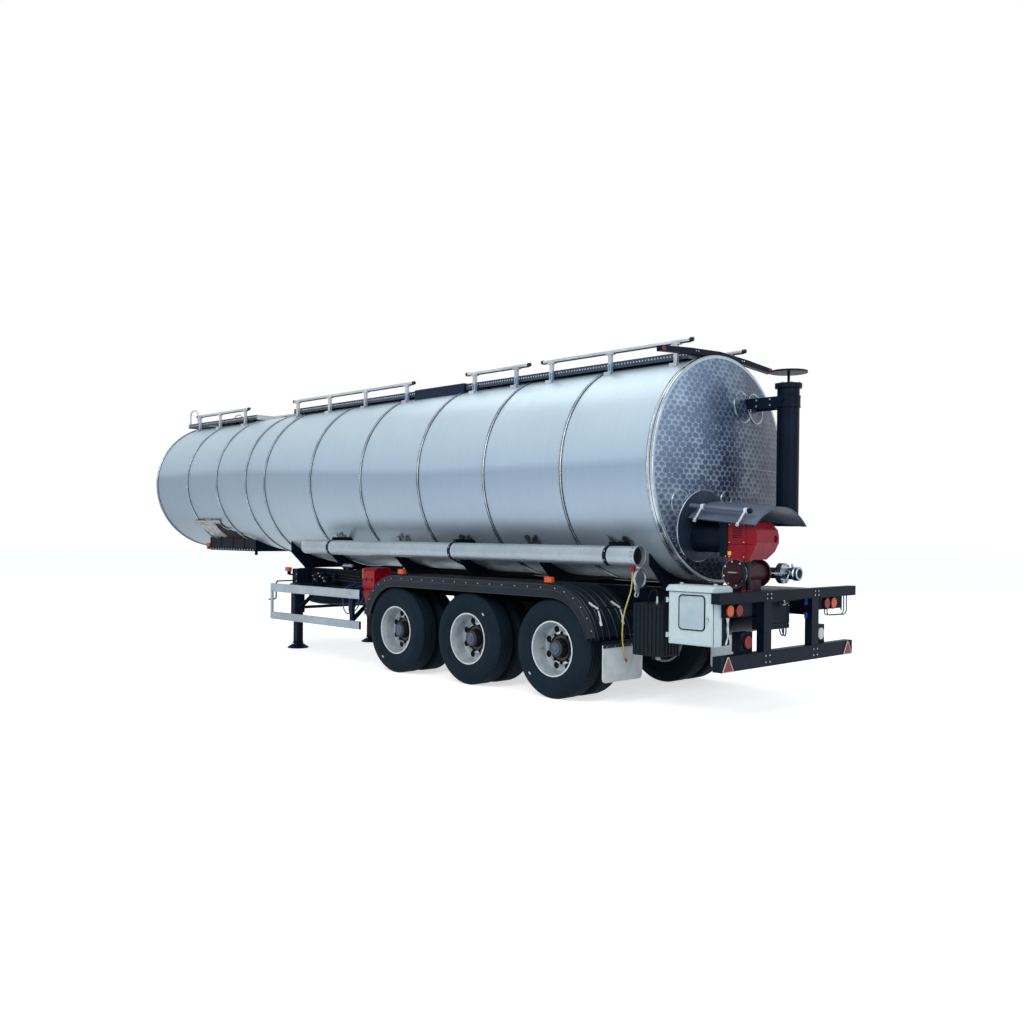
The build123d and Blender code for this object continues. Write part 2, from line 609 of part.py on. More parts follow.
FLAP_X = -690.0
FLAP_LOW = 242.0
flap = block(FLAP_X - 10, FLAP_X, 612, 1225, FLAP_LOW, 612)
flap = fillet(flap.edges().filter_by(Axis.X).group_by(Axis.Z)[0], 40)
keep("mudflaps", both(flap))

# Side guards
def side_guard():
    """Left side guard: two rails joined at the front."""
    rails = []
    for low, high in GUARD_RAILS:
        rails.append(block(GUARD_REAR, GUARD_FRONT, GUARD_Y - GUARD_HALF, GUARD_Y + GUARD_HALF, low, high))
    low, high = GUARD_RAILS[1][0], GUARD_RAILS[0][1]
    rails.append(block(GUARD_FRONT - 40, GUARD_FRONT, GUARD_Y - GUARD_HALF, GUARD_Y + GUARD_HALF, low, high))
    return gather(rails)


guard_rail = side_guard()
keep("side_guard_left", guard_rail)
keep("side_guard_right", mirror(guard_rail, about=Plane.XZ))

# Landing gear
leg = block(LEG_X - LEG_BOX / 2, LEG_X + LEG_BOX / 2, LEG_Y - LEG_BOX / 2, LEG_Y + LEG_BOX / 2, 520, 1160)
leg = leg + block(LEG_X - 50, LEG_X + 50, LEG_Y - 50, LEG_Y + 50, 90, 520)
foot_face = make_face(
    Polyline((0, 0), (LEG_FOOT, 0), (LEG_FOOT, 14), (75, 62), (75, 92), (0, 92), close=True)
)
foot = Pos(LEG_X, LEG_Y, 0) * revolve(Plane.XZ * foot_face, Axis.Z)
leg = leg + foot
leg = leg + block(LEG_X, LEG_X + 150, LEG_Y + 50, LEG_Y + 74, 1060, 1084)
leg = leg + block(LEG_X + 128, LEG_X + 152, LEG_Y + 50, LEG_Y + 98, 1070, 1120 - FIT_GAP)
leg = leg + block(LEG_X + 20, LEG_X + 140, LEG_Y - 60, LEG_Y + 60, 905, 940)
leg = leg + block(LEG_X - 110, LEG_X + 110, BEAM_Y + BEAM_FLANGE / 2 + FIT_GAP, LEG_Y - LEG_BOX / 2, 925, 1165)
gear = both(leg) + drum_y(LEG_X, 590, -LEG_Y, LEG_Y, 22)
keep("landing_gear", gear)

# Coupler frame under the front, with the kingpin
COUPLER_REAR = 6990.0
COUPLER_FRONT = 8450.0
COUPLER_HALF = 600.0
COUPLER_Z = 1385.0
KINGPIN_X = 8000.0
KINGPIN_RADIUS = 25.4
KINGPIN_LENGTH = 84.0
coupler = block(COUPLER_REAR, COUPLER_FRONT, -COUPLER_HALF, COUPLER_HALF, COUPLER_Z, COUPLER_Z + 12)
for y in (COUPLER_HALF - 12, 210.0):
    web = block(COUPLER_REAR, COUPLER_FRONT, y - 6, y + 6, COUPLER_Z + 12, 1700)
    coupler = coupler + both(web)
for x in (COUPLER_REAR + 6, 7350.0, 7700.0, 8100.0, COUPLER_FRONT - 6):
    coupler = coupler + block(x - 6, x + 6, -COUPLER_HALF, COUPLER_HALF, COUPLER_Z + 12, 1700)
coupler = off_bands(coupler - tank_clear, COUPLER_REAR, COUPLER_FRONT)
coupler = gather([s for s in coupler.solids() if s.center().Z < 1700])
coupler = coupler + bar((KINGPIN_X, 0, COUPLER_Z - KINGPIN_LENGTH), (KINGPIN_X, 0, COUPLER_Z + 5), KINGPIN_RADIUS)
coupler = coupler + both(block(COUPLER_FRONT - 12, COUPLER_FRONT + 114, 560, 600, COUPLER_Z + 12, 1440 - FIT_GAP))
keep("coupler_frame", coupler)

# Stainless fairings from the coupler frame up to the flank of the shell
fair_face = make_face(
    Polyline((7500, 950, 1868), (8350, 950, 1868), (8240, 612, 1604), (7860, 612, 1604), close=True)
)
fairing = extrude(fair_face, 4, both=True) - tank_clear
fairing = off_bands(fairing, 7400, 8500)
keep("fairings", both(fairing))

# Rear frame: posts, high beam, bumper and the platform between them
LAMP_BACK = -1975.0
FOG_BACK = -1880.0
posts = block(-2060, -1980, 375, 505, BUMPER[1] - 30, BEAM_HIGH[0] + 20)
rear = both(posts)
rear = rear + block(REAR_END, -1980, -HALF_WIDTH, HALF_WIDTH, BEAM_HIGH[0], BEAM_HIGH[1])
rear = rear + block(BUMPER_REAR, -1970, -BUMPER_HALF, BUMPER_HALF, BUMPER[0], BUMPER[1])
rear = rear + block(-1985, -1260, -620, 620, BEAM_TOP + FIT_GAP, BEAM_TOP + 8)
board = block(LAMP_BACK - 27, LAMP_BACK, 620, 1078, 960, BEAM_HIGH[0] + 10)
fog_box = block(FOG_BACK - 100, FOG_BACK, 575, 765, BUMPER[1] + 4, 806)
fog_box = fog_box + block(-2000, FOG_BACK, 600, 740, BUMPER[1] - 20, BUMPER[1] + 6)
rear = rear + both(board) + both(fog_box)
valve_box = block(-1950, -1800, -130, 300, 800, 1070)
valve_box = valve_box + block(-1960, -1790, -434, 434, 1070, 1100)
rear = rear + valve_box
rear = rear + block(-1985, -1955, -434, 434, 1070, 1140)
keep("rear_frame", rear)

# Lamps and reflectors: distance from the centreline and height
LAMP_RADIUS = 52.0
FOG_Y = 668.0
FOG_Z = 714.0
FOG_RADIUS = 60.0
RED_LAMPS = ((857.0, 1020.0), (-744.0, 1020.0))
AMBER_LAMPS = ((1004.0, 1022.0), (-886.0, 1020.0))
reds = []
for y, z in RED_LAMPS:
    reds.append(drum_x(y, z, LAMP_BACK - 49, LAMP_BACK - 27 - FIT_GAP, LAMP_RADIUS))
reds.append(drum_x(FOG_Y, FOG_Z, FOG_BACK - 120, FOG_BACK - 100 - FIT_GAP, FOG_RADIUS))
for side in (-1, 1):
    mark = plate_yz(
        [(side * 1100 - 84, 482), (side * 1100 + 84, 482), (side * 1100, 616)], BUMPER_REAR - 6, BUMPER_REAR - FIT_GAP
    )
    reds.append(mark)
ambers = []
for y, z in AMBER_LAMPS:
    ambers.append(drum_x(y, z, LAMP_BACK - 49, LAMP_BACK - 27 - FIT_GAP, LAMP_RADIUS))
SIDE_MARKS = ((50.0, 1214.0, 1203.0), (2512.0, 1214.0, 1203.0), (5800.0, 745.0, 1120.0), (8512.0, 590.0, 1440.0))
for x, y, z in SIDE_MARKS:
    for side in (-1, 1):
        ambers.append(block(x - 52, x + 52, side * (y - 22), side * (y + 22), z, z + 58))
keep("lamps_red", Compound(children=[s for item in reds for s in item.solids()]))
keep("lamps_amber", Compound(children=[s for item in ambers for s in item.solids()]))
keep("lamp_white", drum_x(-FOG_Y, FOG_Z, FOG_BACK - 120, FOG_BACK - 100 - FIT_GAP, FOG_RADIUS))

# Control cabinet with a hinged, windowed door
CAB = (-1968.0, -1474.0, 938.0, 1183.0, 700.0, 1190.0)
CAB_SHEET = 4.0
DOOR_BACK = CAB[3] + 5.0
DOOR_FACE = CAB[3] + 21.0
cab = block(*CAB)
cab = cab - block(
    CAB[0] + CAB_SHEET, CAB[1] - CAB_SHEET, CAB[2] + CAB_SHEET, CAB[3] + 5, CAB[4] + CAB_SHEET, CAB[5] - CAB_SHEET
)
roof = plate_yz(
    [(CAB[2] - 30, CAB[5]), (DOOR_FACE + 16, CAB[5]), (DOOR_FACE + 16, CAB[5] + 24), (DOOR_FACE - 30, CAB[5] + 56),
     (CAB[2] + 10, CAB[5] + 56), (CAB[2] - 30, CAB[5] + 24)],
    CAB[0] - 9, CAB[1] + 14,
)
cab = cab + roof
for x in (CAB[0] + 60, CAB[1] - 60):
    cab = cab + bar((x, 1080, CAB[5] + 50), (x, 1080, CAB[5] + 72), 13)
HINGE_X = CAB[1] + 6.0
HINGE_Y = DOOR_FACE - 1.0
PIN = 3.0
for z in (780.0, 1105.0):
    stem = block(CAB[1], CAB[1] + 22, CAB[3] - 40, CAB[3], z - 22, z + 22)
    stem = stem + block(CAB[1] + 14, CAB[1] + 22, CAB[3] - 40, HINGE_Y + 6, z - 22, z + 22)
    for low, high in ((z - 22, z - 8), (z + 8, z + 22)):
        stem = stem + block(CAB[1] + 1, CAB[1] + 22, HINGE_Y - 6, HINGE_Y + 6, low, high)
    cab = cab + stem + bar((HINGE_X, HINGE_Y, z - 22), (HINGE_X, HINGE_Y, z + 22), PIN)
keep("cabinet", cab)
door = block(CAB[0] + 4, CAB[1] - 6, DOOR_BACK, DOOR_FACE, CAB[4] + 6, CAB[5] - 6)
door = fillet(door.edges().filter_by(Axis.Z), 5)
WINDOW = (-1884.0, -1598.0, 842.0, 1160.0)
window = block(WINDOW[0], WINDOW[1], DOOR_FACE - 4, DOOR_FACE + 5, WINDOW[2], WINDOW[3])
window = fillet(window.edges().filter_by(Axis.Y), 34)
seal = block(WINDOW[0] + 9, WINDOW[1] - 9, DOOR_FACE - 4, DOOR_FACE + 9, WINDOW[2] + 9, WINDOW[3] - 9)
seal = fillet(seal.edges().filter_by(Axis.Y), 26)
door = door + (window - seal) - block(
    WINDOW[0] + 14, WINDOW[1] - 14, DOOR_FACE - 3, DOOR_FACE + 9, WINDOW[2] + 14, WINDOW[3] - 14
)
LATCH_X = -1915.0
door = door + drum_y(LATCH_X, 952, DOOR_FACE - 2, DOOR_FACE + 14, 13)
door = door + block(LATCH_X - 6, LATCH_X + 6, DOOR_FACE - 2, DOOR_FACE + 12, 905, 952)
for z in (780.0, 1105.0):
    door = door + bar((HINGE_X, HINGE_Y, z - 7.7), (HINGE_X, HINGE_Y, z + 7.7), 6)
    door = door + block(CAB[1] - 12, HINGE_X, DOOR_FACE - 7, DOOR_FACE, z - 7.7, z + 7.7)
    door = door - bar((HINGE_X, HINGE_Y, z - 30), (HINGE_X, HINGE_Y, z + 30), PIN + FIT_GAP)
keep("cabinet_door", door)

# Moulded tank behind the rear wheel, with upright ribs and a filler on top
RIBBED = (-1270.0, -885.0, 726.0, 1012.0, 530.0, 1035.0)
ribbed = block(*RIBBED)
ribbed = fillet(ribbed.edges().filter_by(Axis.Z), 30)
for n in range(7):
    x = RIBBED[0] + 46 + n * 49.0
    ribbed = ribbed + block(x - 11, x + 11, RIBBED[2] - 8, RIBBED[3] + 8, RIBBED[4] + 14, RIBBED[5] - 14)
for n in range(5):
    y = RIBBED[2] + 47 + n * 48.0
    ribbed = ribbed + block(RIBBED[0] - 8, RIBBED[1] + 8, y - 11, y + 11, RIBBED[4] + 14, RIBBED[5] - 14)
ribbed = ribbed + bar((-1210, 900, RIBBED[5] - 5), (-1210, 900, RIBBED[5] + 34), 34)
ribbed = ribbed + bar((-1210, 900, RIBBED[5] + 30), (-1210, 900, RIBBED[5] + 78), 14)
ribbed = ribbed + bar((-1120, 960, RIBBED[4] - 36), (-1120, 960, RIBBED[4] + 5), 17)
keep("ribbed_tank", ribbed)

# Air tanks slung between the beams behind the axles
AIR_RADIUS = 122.0
AIR_HALF = 330.0
air = []
for x in (-1420.0, -1080.0):
    profile = [
        Line((0, 0), (AIR_HALF + 40, 0)),
        ThreePointArc((AIR_HALF + 40, 0), (AIR_HALF + 28, AIR_RADIUS * 0.62), (AIR_HALF, AIR_RADIUS)),
        Line((AIR_HALF, AIR_RADIUS), (0, AIR_RADIUS)), Line((0, AIR_RADIUS), (0, 0)),
    ]
    half = revolve(make_face(profile), Axis.X)
    vessel = Pos(x, 0, 840) * (Rot(0, 0, 90) * (half + mirror(half, about=Plane.YZ)))
    for side in (-1, 1):
        hoop = drum_y(x, 840, side * 230, side * 260, AIR_RADIUS + 4) + block(
            x - 20, x + 20, side * 230, side * 434, 962, 990
        )
        vessel = vessel + hoop
    air.append(vessel)
keep("air_tanks", Compound(children=[solid for item in air for solid in item.solids()]))

# Burner, hood, chimney and outlet
STUB_START = TANK_REAR - 3 * FIT_GAP
blast = drum_x(BURNER_Y, BURNER_Z, -1640, STUB_START, 160) - head_clear
plate = block(-1699.7, -1640, BURNER_Y - 175, BURNER_Y + 175, 1500, 1850)
keep("blast_tube", blast + plate)
BURNER_SIDES = (238.0, 620.0)
BURNER_OUTLINE = (
    (-1700, 1480), (-1700, 1835), (-1960, 1835), (-2035, 1760), (-2048, 1700), (-2048, 1640), (-1966, 1480),
)
burner = plate_xz(BURNER_OUTLINE, *BURNER_SIDES)
burner = fillet(burner.edges().filter_by(Axis.Y).group_by(Axis.X)[0], 14)
burner = burner - plate_yz([(200, 1470), (330, 1470), (200, 1590)], -2100, -1740)
burner = burner - drum_x(300, 1677, -2060, -2030, 34)
burner = burner + block(-1722, -1700, BURNER_SIDES[0] - 14, BURNER_SIDES[1] + 10, 1497, 1848)
keep("burner", burner)

HOOD_RADIUS = 660.0
HOOD_Y = 230.0
HOOD_DROP = 180.0
half_chord = math.sqrt(HOOD_RADIUS**2 - (HOOD_RADIUS - HOOD_DROP) ** 2)
hood_edge = [
    ThreePointArc((-half_chord, -HOOD_DROP), (0, 0), (half_chord, -HOOD_DROP)),
    Line((half_chord, -HOOD_DROP), (half_chord - 4, -HOOD_DROP - 2)),
    ThreePointArc((half_chord - 4, -HOOD_DROP - 2), (0, -5), (-half_chord + 4, -HOOD_DROP - 2)),
    Line((-half_chord + 4, -HOOD_DROP - 2), (-half_chord, -HOOD_DROP)),
]
HOOD_REAR = -2085.0
HOOD_SLOPE = 0.089
hood_plane = Plane(origin=(HOOD_REAR, HOOD_Y, 1983), x_dir=(0, 1, 0), z_dir=(1, 0, HOOD_SLOPE))
hood = extrude(hood_plane * make_face(hood_edge), TANK_REAR - 24 - HOOD_REAR) - head_clear
keep("hood", hood)
hood_bar_start = (TANK_REAR - 12, 660, 2004)
hood_bar = bar(hood_bar_start, (-1975, 660, 2004 - HOOD_SLOPE * (TANK_REAR - 12 + 1975)), 22) - head_clear
keep("hood_bar", hood_bar)

chimney = bar((CHIMNEY_X, CHIMNEY_Y, STUB_Z - STUB_RADIUS), (CHIMNEY_X, CHIMNEY_Y, 3235), CHIMNEY_RADIUS)
chimney = chimney + bar((CHIMNEY_X, CHIMNEY_Y, 3215), (CHIMNEY_X, CHIMNEY_Y, 3262), CHIMNEY_RADIUS + 24)
chimney = chimney - bar((CHIMNEY_X, CHIMNEY_Y, 2900), (CHIMNEY_X, CHIMNEY_Y, 3300), CHIMNEY_RADIUS - 5)
stub = drum_x(CHIMNEY_Y, STUB_Z, CHIMNEY_X, STUB_START, STUB_RADIUS) - head_clear
chimney = chimney + stub
chimney = chimney - bar((CHIMNEY_X, CHIMNEY_Y, 2900), (CHIMNEY_X, CHIMNEY_Y, 3300), CHIMNEY_RADIUS - 5)
for side in (-1, 1):
    y = CHIMNEY_Y + side * (CHIMNEY_RADIUS + 4)
    arm = block(CHIMNEY_X, STUB_START, y - 4, y + 4, 3020, 3130) - head_clear
    chimney = chimney + arm
clamp = bar((CHIMNEY_X, CHIMNEY_Y, 3020), (CHIMNEY_X, CHIMNEY_Y, 3130), CHIMNEY_RADIUS + 8) - bar(
    (CHIMNEY_X, CHIMNEY_Y, 3000), (CHIMNEY_X, CHIMNEY_Y, 3150), CHIMNEY_RADIUS - 1
)
chimney = chimney + clamp
cap = bar((CHIMNEY_X, CHIMNEY_Y, 3372), (CHIMNEY_X, CHIMNEY_Y, 3390), 190)
cap = cap + bar((CHIMNEY_X, CHIMNEY_Y, 3080), (CHIMNEY_X, CHIMNEY_Y, 3380), 14)
cap = cap + block(CHIMNEY_X - CHIMNEY_RADIUS + 2, CHIMNEY_X + CHIMNEY_RADIUS - 2, CHIMNEY_Y - 6, CHIMNEY_Y + 6, 3150, 3180)
chimney = chimney + cap
keep("chimney", chimney)

STRAINER_X = -1760.0
STRAINER_Z = 1343.0
strainer = drum_y(STRAINER_X, STRAINER_Z, 130, 540, 108)
strainer = strainer + drum_y(STRAINER_X, STRAINER_Z, 528, 550, 135) + drum_y(STRAINER_X, STRAINER_Z, 120, 142, 135)
strainer = strainer + block(STRAINER_X - 90, STRAINER_X + 90, 230, 440, BEAM_TOP + 8.3, STRAINER_Z)
keep("strainer", strainer)

outlet = drum_x(OUTLET_Y, OUTLET_Z, -1850, STUB_START, 57) - head_clear
outlet = outlet + drum_x(OUTLET_Y, OUTLET_Z, -1800, -1740, 105)
outlet = outlet + drum_x(OUTLET_Y, OUTLET_Z, -1960, -1850, 60)
outlet = outlet - drum_x(OUTLET_Y, OUTLET_Z, -1970, -1820, 48)
keep("outlet_pipe", outlet)

# Extinguisher box and spare wheel
box_side = plate_yz(
    [(800, 760), (800, 1240), (1010, 1240), (1050, 1200), (1050, 960), (1005, 760)], 3285, 3525
)
box_side = box_side + plate_yz([(794, 1010), (794, 1246), (1014, 1246), (1056, 1204), (1056, 1010)], 3280, 3530)
keep("extinguisher_box", box_side)
SPARE_X = 5450.0
SPARE_Z = BEAM_TOP - BEAM_DEPTH - FIT_GAP - TYRE_WIDTH / 2
spare = Pos(SPARE_X, 0, SPARE_Z) * (Rot(90, 0, 0) * tyre(0.0))
keep("spare_wheel", spare)
spare_disc = turned_y(
    [(-116, RIM_RADIUS - 12.3), (-116, RIM_RADIUS - 40), (-20, RIM_RADIUS - 50), (-20, 130), (-4, 130),
     (-4, RIM_RADIUS - 34), (116, RIM_RADIUS - 34), (116, RIM_RADIUS - 12.3)]
)
keep("spare_rim", Pos(SPARE_X, 0, SPARE_Z) * (Rot(90, 0, 0) * spare_disc))

# Earthing cord from the tube's end over the mudflap, and the two burner hoses
def corners(points):
    """Bend radii that leave straight runs between the corners."""
    radii = []
    for before, at, after in zip(points, points[1:], points[2:]):
        first = Vector(*at) - Vector(*before)
        second = Vector(*after) - Vector(*at)
        turn = math.radians(first.get_angle(second))
        radii.append(0.45 * min(first.length, second.length) / math.tan(turn / 2.0))
    return radii


def cord(points, radius):
    """Round cord along straight runs joined by tangent arcs."""
    radii = corners(points)
    route = FilletPolyline(*points, radius=radii)
    start = Plane(origin=route @ 0, z_dir=route % 0)
    solid = sweep(start * Circle(radius), path=route)
    print("cord", round(route.length, 1), "mm, least bend radius", round(min(radii), 1))
    print("section x length", round(math.pi * radius * radius * route.length), "volume", round(solid.volume))
    return solid


CORD_RADIUS = 7.0
CORD_POINTS = (
    (-985.0, 1130.0, 1345.0), (-985.0, 1130.0, 1205.0), (-902.0, 1092.0, 1065.0), (-812.0, 1045.0, 930.0),
    (-762.0, 1005.0, 790.0), (-728.0, 965.0, 668.0), (-714.0, 930.0, 560.0), (-714.0, 890.0, 462.0),
)
keep("earth_cord", cord(CORD_POINTS, CORD_RADIUS))
HOSE_RADIUS = 16.0
HOSE_A = (
    (-1885.0, 592.0, 1479.7), (-1885.0, 592.0, 1405.0), (-1899.0, 600.0, 1326.0), (-1890.0, 592.0, 1250.0),
    (-1890.0, 592.0, 1178.6),
)
HOSE_B = (
    (-1940.0, 590.0, 1479.7), (-1940.0, 590.0, 1405.0), (-1950.0, 598.0, 1326.0), (-1954.0, 590.0, 1250.0),
    (-1954.0, 590.0, 1178.6),
)
hose_a = cord(HOSE_A, HOSE_RADIUS)
hose_b = cord(HOSE_B, HOSE_RADIUS)
keep("burner_hoses", Compound(children=[s for item in (hose_a, hose_b) for s in item.solids()]))

# Fittings at the ends of the cord and hoses
fittings = []
for route in (HOSE_A, HOSE_B):
    for (x, y, z), rise in ((route[0], -14.0), (route[-1], 14.0)):
        ring = bar((x, y, min(z, z + rise)), (x, y, max(z, z + rise)), HOSE_RADIUS + 6)
        fittings.append(ring - bar((x, y, z - 20), (x, y, z + 20), HOSE_RADIUS + FIT_GAP))
cord_top = CORD_POINTS[0]
grip = block(cord_top[0] - 26, cord_top[0] + 12, cord_top[1] - 13, cord_top[1] + 13, cord_top[2] + FIT_GAP, 1430)
grip = grip - drum_x(TUBE_Y, TUBE_Z, cord_top[0] - 60, cord_top[0] + 60, TUBE_RADIUS + FIT_GAP)
fittings.append(grip)
cord_end = Vector(*CORD_POINTS[-1])
cord_way = (cord_end - Vector(*CORD_POINTS[-2])).normalized()
fittings.append(bar(tuple(cord_end), tuple(cord_end + cord_way * 34), CORD_RADIUS + 3))
keep("cord_fittings", Compound(children=[s for item in fittings for s in item.solids()]))

# Lamps and lamp bar
BAR_LOW = ((-985, 3482), (-500, 3514), (0, 3530), (500, 3514), (985, 3482))
BAR_HIGH = ((985, 3536), (500, 3574), (0, 3598), (-500, 3574), (-985, 3536))
lamp_bar = plate_yz(BAR_LOW + BAR_HIGH, -1202, -1138) - tank_clear
keep("lamp_bar", off_bands(lamp_bar, -1202, -1138))

os.makedirs("parts", exist_ok=True)
for name, shape in PARTS.items():
    export_step(shape, "parts/" + name + ".step")
print(len(PARTS), "nodes")
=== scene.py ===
"""Dressed model of a tank semi-trailer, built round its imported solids.

Metres. +X runs to the trailer's front, +Y to its left and +Z up. Stations along X
are written from the rear axle, and a Datum turns them into the frame's own.
"""

from __future__ import annotations

import json
import logging
import math
import random
from dataclasses import dataclass, field
from enum import Enum
from functools import partial
from typing import Callable, Iterable, Sequence

import bpy
from mathutils import Matrix, Vector

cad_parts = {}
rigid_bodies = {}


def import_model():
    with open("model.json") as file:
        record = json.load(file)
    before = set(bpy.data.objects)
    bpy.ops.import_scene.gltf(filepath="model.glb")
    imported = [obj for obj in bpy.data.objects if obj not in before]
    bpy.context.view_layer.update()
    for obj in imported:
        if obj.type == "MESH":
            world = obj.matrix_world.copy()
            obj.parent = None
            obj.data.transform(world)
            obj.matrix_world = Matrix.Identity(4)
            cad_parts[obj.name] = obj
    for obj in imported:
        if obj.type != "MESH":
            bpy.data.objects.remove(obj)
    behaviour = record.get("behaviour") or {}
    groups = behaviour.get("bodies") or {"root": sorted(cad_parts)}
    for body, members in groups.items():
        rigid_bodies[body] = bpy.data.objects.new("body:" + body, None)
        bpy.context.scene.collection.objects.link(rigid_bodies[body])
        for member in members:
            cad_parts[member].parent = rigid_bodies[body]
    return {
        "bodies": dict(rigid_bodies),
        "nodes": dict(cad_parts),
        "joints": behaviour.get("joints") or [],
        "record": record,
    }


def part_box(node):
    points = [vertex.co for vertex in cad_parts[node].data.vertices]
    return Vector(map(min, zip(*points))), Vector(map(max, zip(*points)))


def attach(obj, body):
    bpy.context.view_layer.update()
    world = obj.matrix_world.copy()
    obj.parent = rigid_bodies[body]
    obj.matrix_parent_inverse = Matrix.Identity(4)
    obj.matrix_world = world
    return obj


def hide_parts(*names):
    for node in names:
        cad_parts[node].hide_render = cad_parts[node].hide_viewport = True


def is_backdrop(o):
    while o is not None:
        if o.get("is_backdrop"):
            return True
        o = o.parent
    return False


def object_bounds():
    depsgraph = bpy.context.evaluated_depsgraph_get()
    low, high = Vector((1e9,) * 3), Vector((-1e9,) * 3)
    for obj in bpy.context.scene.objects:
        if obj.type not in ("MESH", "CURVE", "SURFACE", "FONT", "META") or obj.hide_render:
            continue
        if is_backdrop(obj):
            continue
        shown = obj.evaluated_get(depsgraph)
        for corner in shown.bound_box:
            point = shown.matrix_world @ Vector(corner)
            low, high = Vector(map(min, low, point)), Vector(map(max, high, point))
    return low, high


LOG = logging.getLogger("trailer")
TRAILER = "trailer"
RGB = tuple[float, float, float]
Point = tuple[float, float, float]
Piece = bpy.types.Object
Socket = bpy.types.NodeSocket
FORWARD, LEFT, UP = Vector((1, 0, 0)), Vector((0, 1, 0)), Vector((0, 0, 1))
REARWARD, ORIGIN = Vector((-1, 0, 0)), Vector((0, 0, 0))
SIDES = ((1.0, "left"), (-1.0, "right"))
Profile = Sequence[tuple[float, float]]


def sideways(side: float) -> Vector:
    """The direction out to a side, 1 for the left and -1 for the right."""
    return Vector((0.0, side, 0.0))


def even(size: float) -> Point:
    """One number for all three axes."""
    return size, size, size


def linear(level: int) -> float:
    """Turn a display level from 0 to 255 into linear light."""
    share = level / 255.0
    return share / 12.92 if share <= 0.04045 else ((share + 0.055) / 1.055) ** 2.4


def tint(red: int, green: int, blue: int) -> RGB:
    """Turn a display colour from 0 to 255 into a linear one.

    Args:
        red: display red.
        green: display green.
        blue: display blue.

    Returns:
        The same colour in linear light.
    """
    return linear(red), linear(green), linear(blue)


@dataclass(frozen=True)
class Datum:
    """Where the rear axle stands in the frame."""

    rear_axle: float

    def x(self, station: float) -> float:
        """Frame X of a station measured from the rear axle."""
        return station + self.rear_axle

    def at(self, station: float, y: float, z: float) -> Vector:
        """Frame point of a station, a side distance and a height."""
        return Vector((self.x(station), y, z))


# Node graphs


class Graph:
    """A node tree with short ways to add and join its nodes."""

    def __init__(self, tree: bpy.types.NodeTree) -> None:
        """Start from an empty tree.

        Args:
            tree: the tree to fill.
        """
        self.tree = tree
        tree.nodes.clear()

    def add(self, kind: str, **sockets: object) -> bpy.types.Node:
        """Add a node and set or join its sockets.

        Args:
            kind: the node's type name.
            **sockets: socket names with _ for a space; a value, or a socket to join.

        Returns:
            The new node.
        """
        node = self.tree.nodes.new(kind)
        for name, value in sockets.items():
            self.put(node, name.replace("_", " "), value)
        return node

    def put(self, node: bpy.types.Node, name: str | int, value: object) -> None:
        """Set one input of a node, or join it to another node's output."""
        if isinstance(value, Socket):
            self.tree.links.new(value, node.inputs[name])
        else:
            node.inputs[name].default_value = value

    def maths(self, operation: str, first: object, second: object = 0.0) -> Socket:
        """Add a Math node.

        Args:
            operation: the node's operation.
            first: a value or a socket.
            second: a value or a socket.

        Returns:
            Its output.
        """
        node = self.tree.nodes.new("ShaderNodeMath")
        node.operation = operation
        self.put(node, 0, first)
        self.put(node, 1, second)
        return node.outputs[0]

    def plus(self, first: object, second: object) -> Socket:
        """The sum of two values or sockets."""
        return self.maths("ADD", first, second)

    def minus(self, first: object, second: object) -> Socket:
        """The first less the second."""
        return self.maths("SUBTRACT", first, second)

    def times(self, first: object, second: object) -> Socket:
        """The product of two values or sockets."""
        return self.maths("MULTIPLY", first, second)

    def length(self, first: object, second: object) -> Socket:
        """The length of two sides at a right angle."""
        return self.maths("SQRT", self.plus(self.times(first, first), self.times(second, second)))

    def noise(self, place: object, scale: object, detail: float, **sockets: object) -> Socket:
        """The value of a Noise texture."""
        return self.add("ShaderNodeTexNoise", Vector=place, Scale=scale, Detail=detail, **sockets).outputs[0]

    def split(self, place: object) -> bpy.types.NodeOutputs:
        """The three parts of a vector."""
        return self.add("ShaderNodeSeparateXYZ", Vector=place).outputs

    def emboss(self, shader: bpy.types.Node, height: object, strength: float, depth: float) -> None:
        """Give a shader the relief of a height."""
        bump = self.add("ShaderNodeBump", Height=height, Strength=strength, Distance=depth)
        self.put(shader, "Normal", bump.outputs[0])

    def blend(self, share: object, first: object, second: object, way: str = "MIX") -> Socket:
        """Mix two colours.

        Args:
            share: how much of the second, a value or a socket.
            first: a colour or a socket.
            second: a colour or a socket.
            way: the blend type.

        Returns:
            The mixed colour.
        """
        node = self.tree.nodes.new("ShaderNodeMix")
        node.data_type = "RGBA"
        node.blend_type = way
        node.clamp_factor = True
        self.put(node, 0, share)
        for index, colour in ((6, first), (7, second)):
            value = colour if isinstance(colour, Socket) else (*colour, 1.0)
            self.put(node, index, value)
        return node.outputs[2]

    def ramp(self, value: object, low: float, high: float, to_low: float = 0.0, to_high: float = 1.0) -> Socket:
        """Map a value from one range to another, with ends held.

        Args:
            value: a value or a socket.
            low: start of the first range.
            high: end of the first range.
            to_low: start of the second range.
            to_high: end of the second range.

        Returns:
            The mapped value.
        """
        node = self.tree.nodes.new("ShaderNodeMapRange")
        node.clamp = True
        self.put(node, 0, value)
        for index, number in enumerate((low, high, to_low, to_high), 1):
            node.inputs[index].default_value = number
        return node.outputs[0]


class Effect(Enum):
    """The shared surface effects, each one a node group."""

    DRIFT = "tone_drift"
    BRUSHING = "brushed_lines"
    FILM = "road_film"
    SWIRL = "polishing_discs"
    SPECKS = "fine_specks"


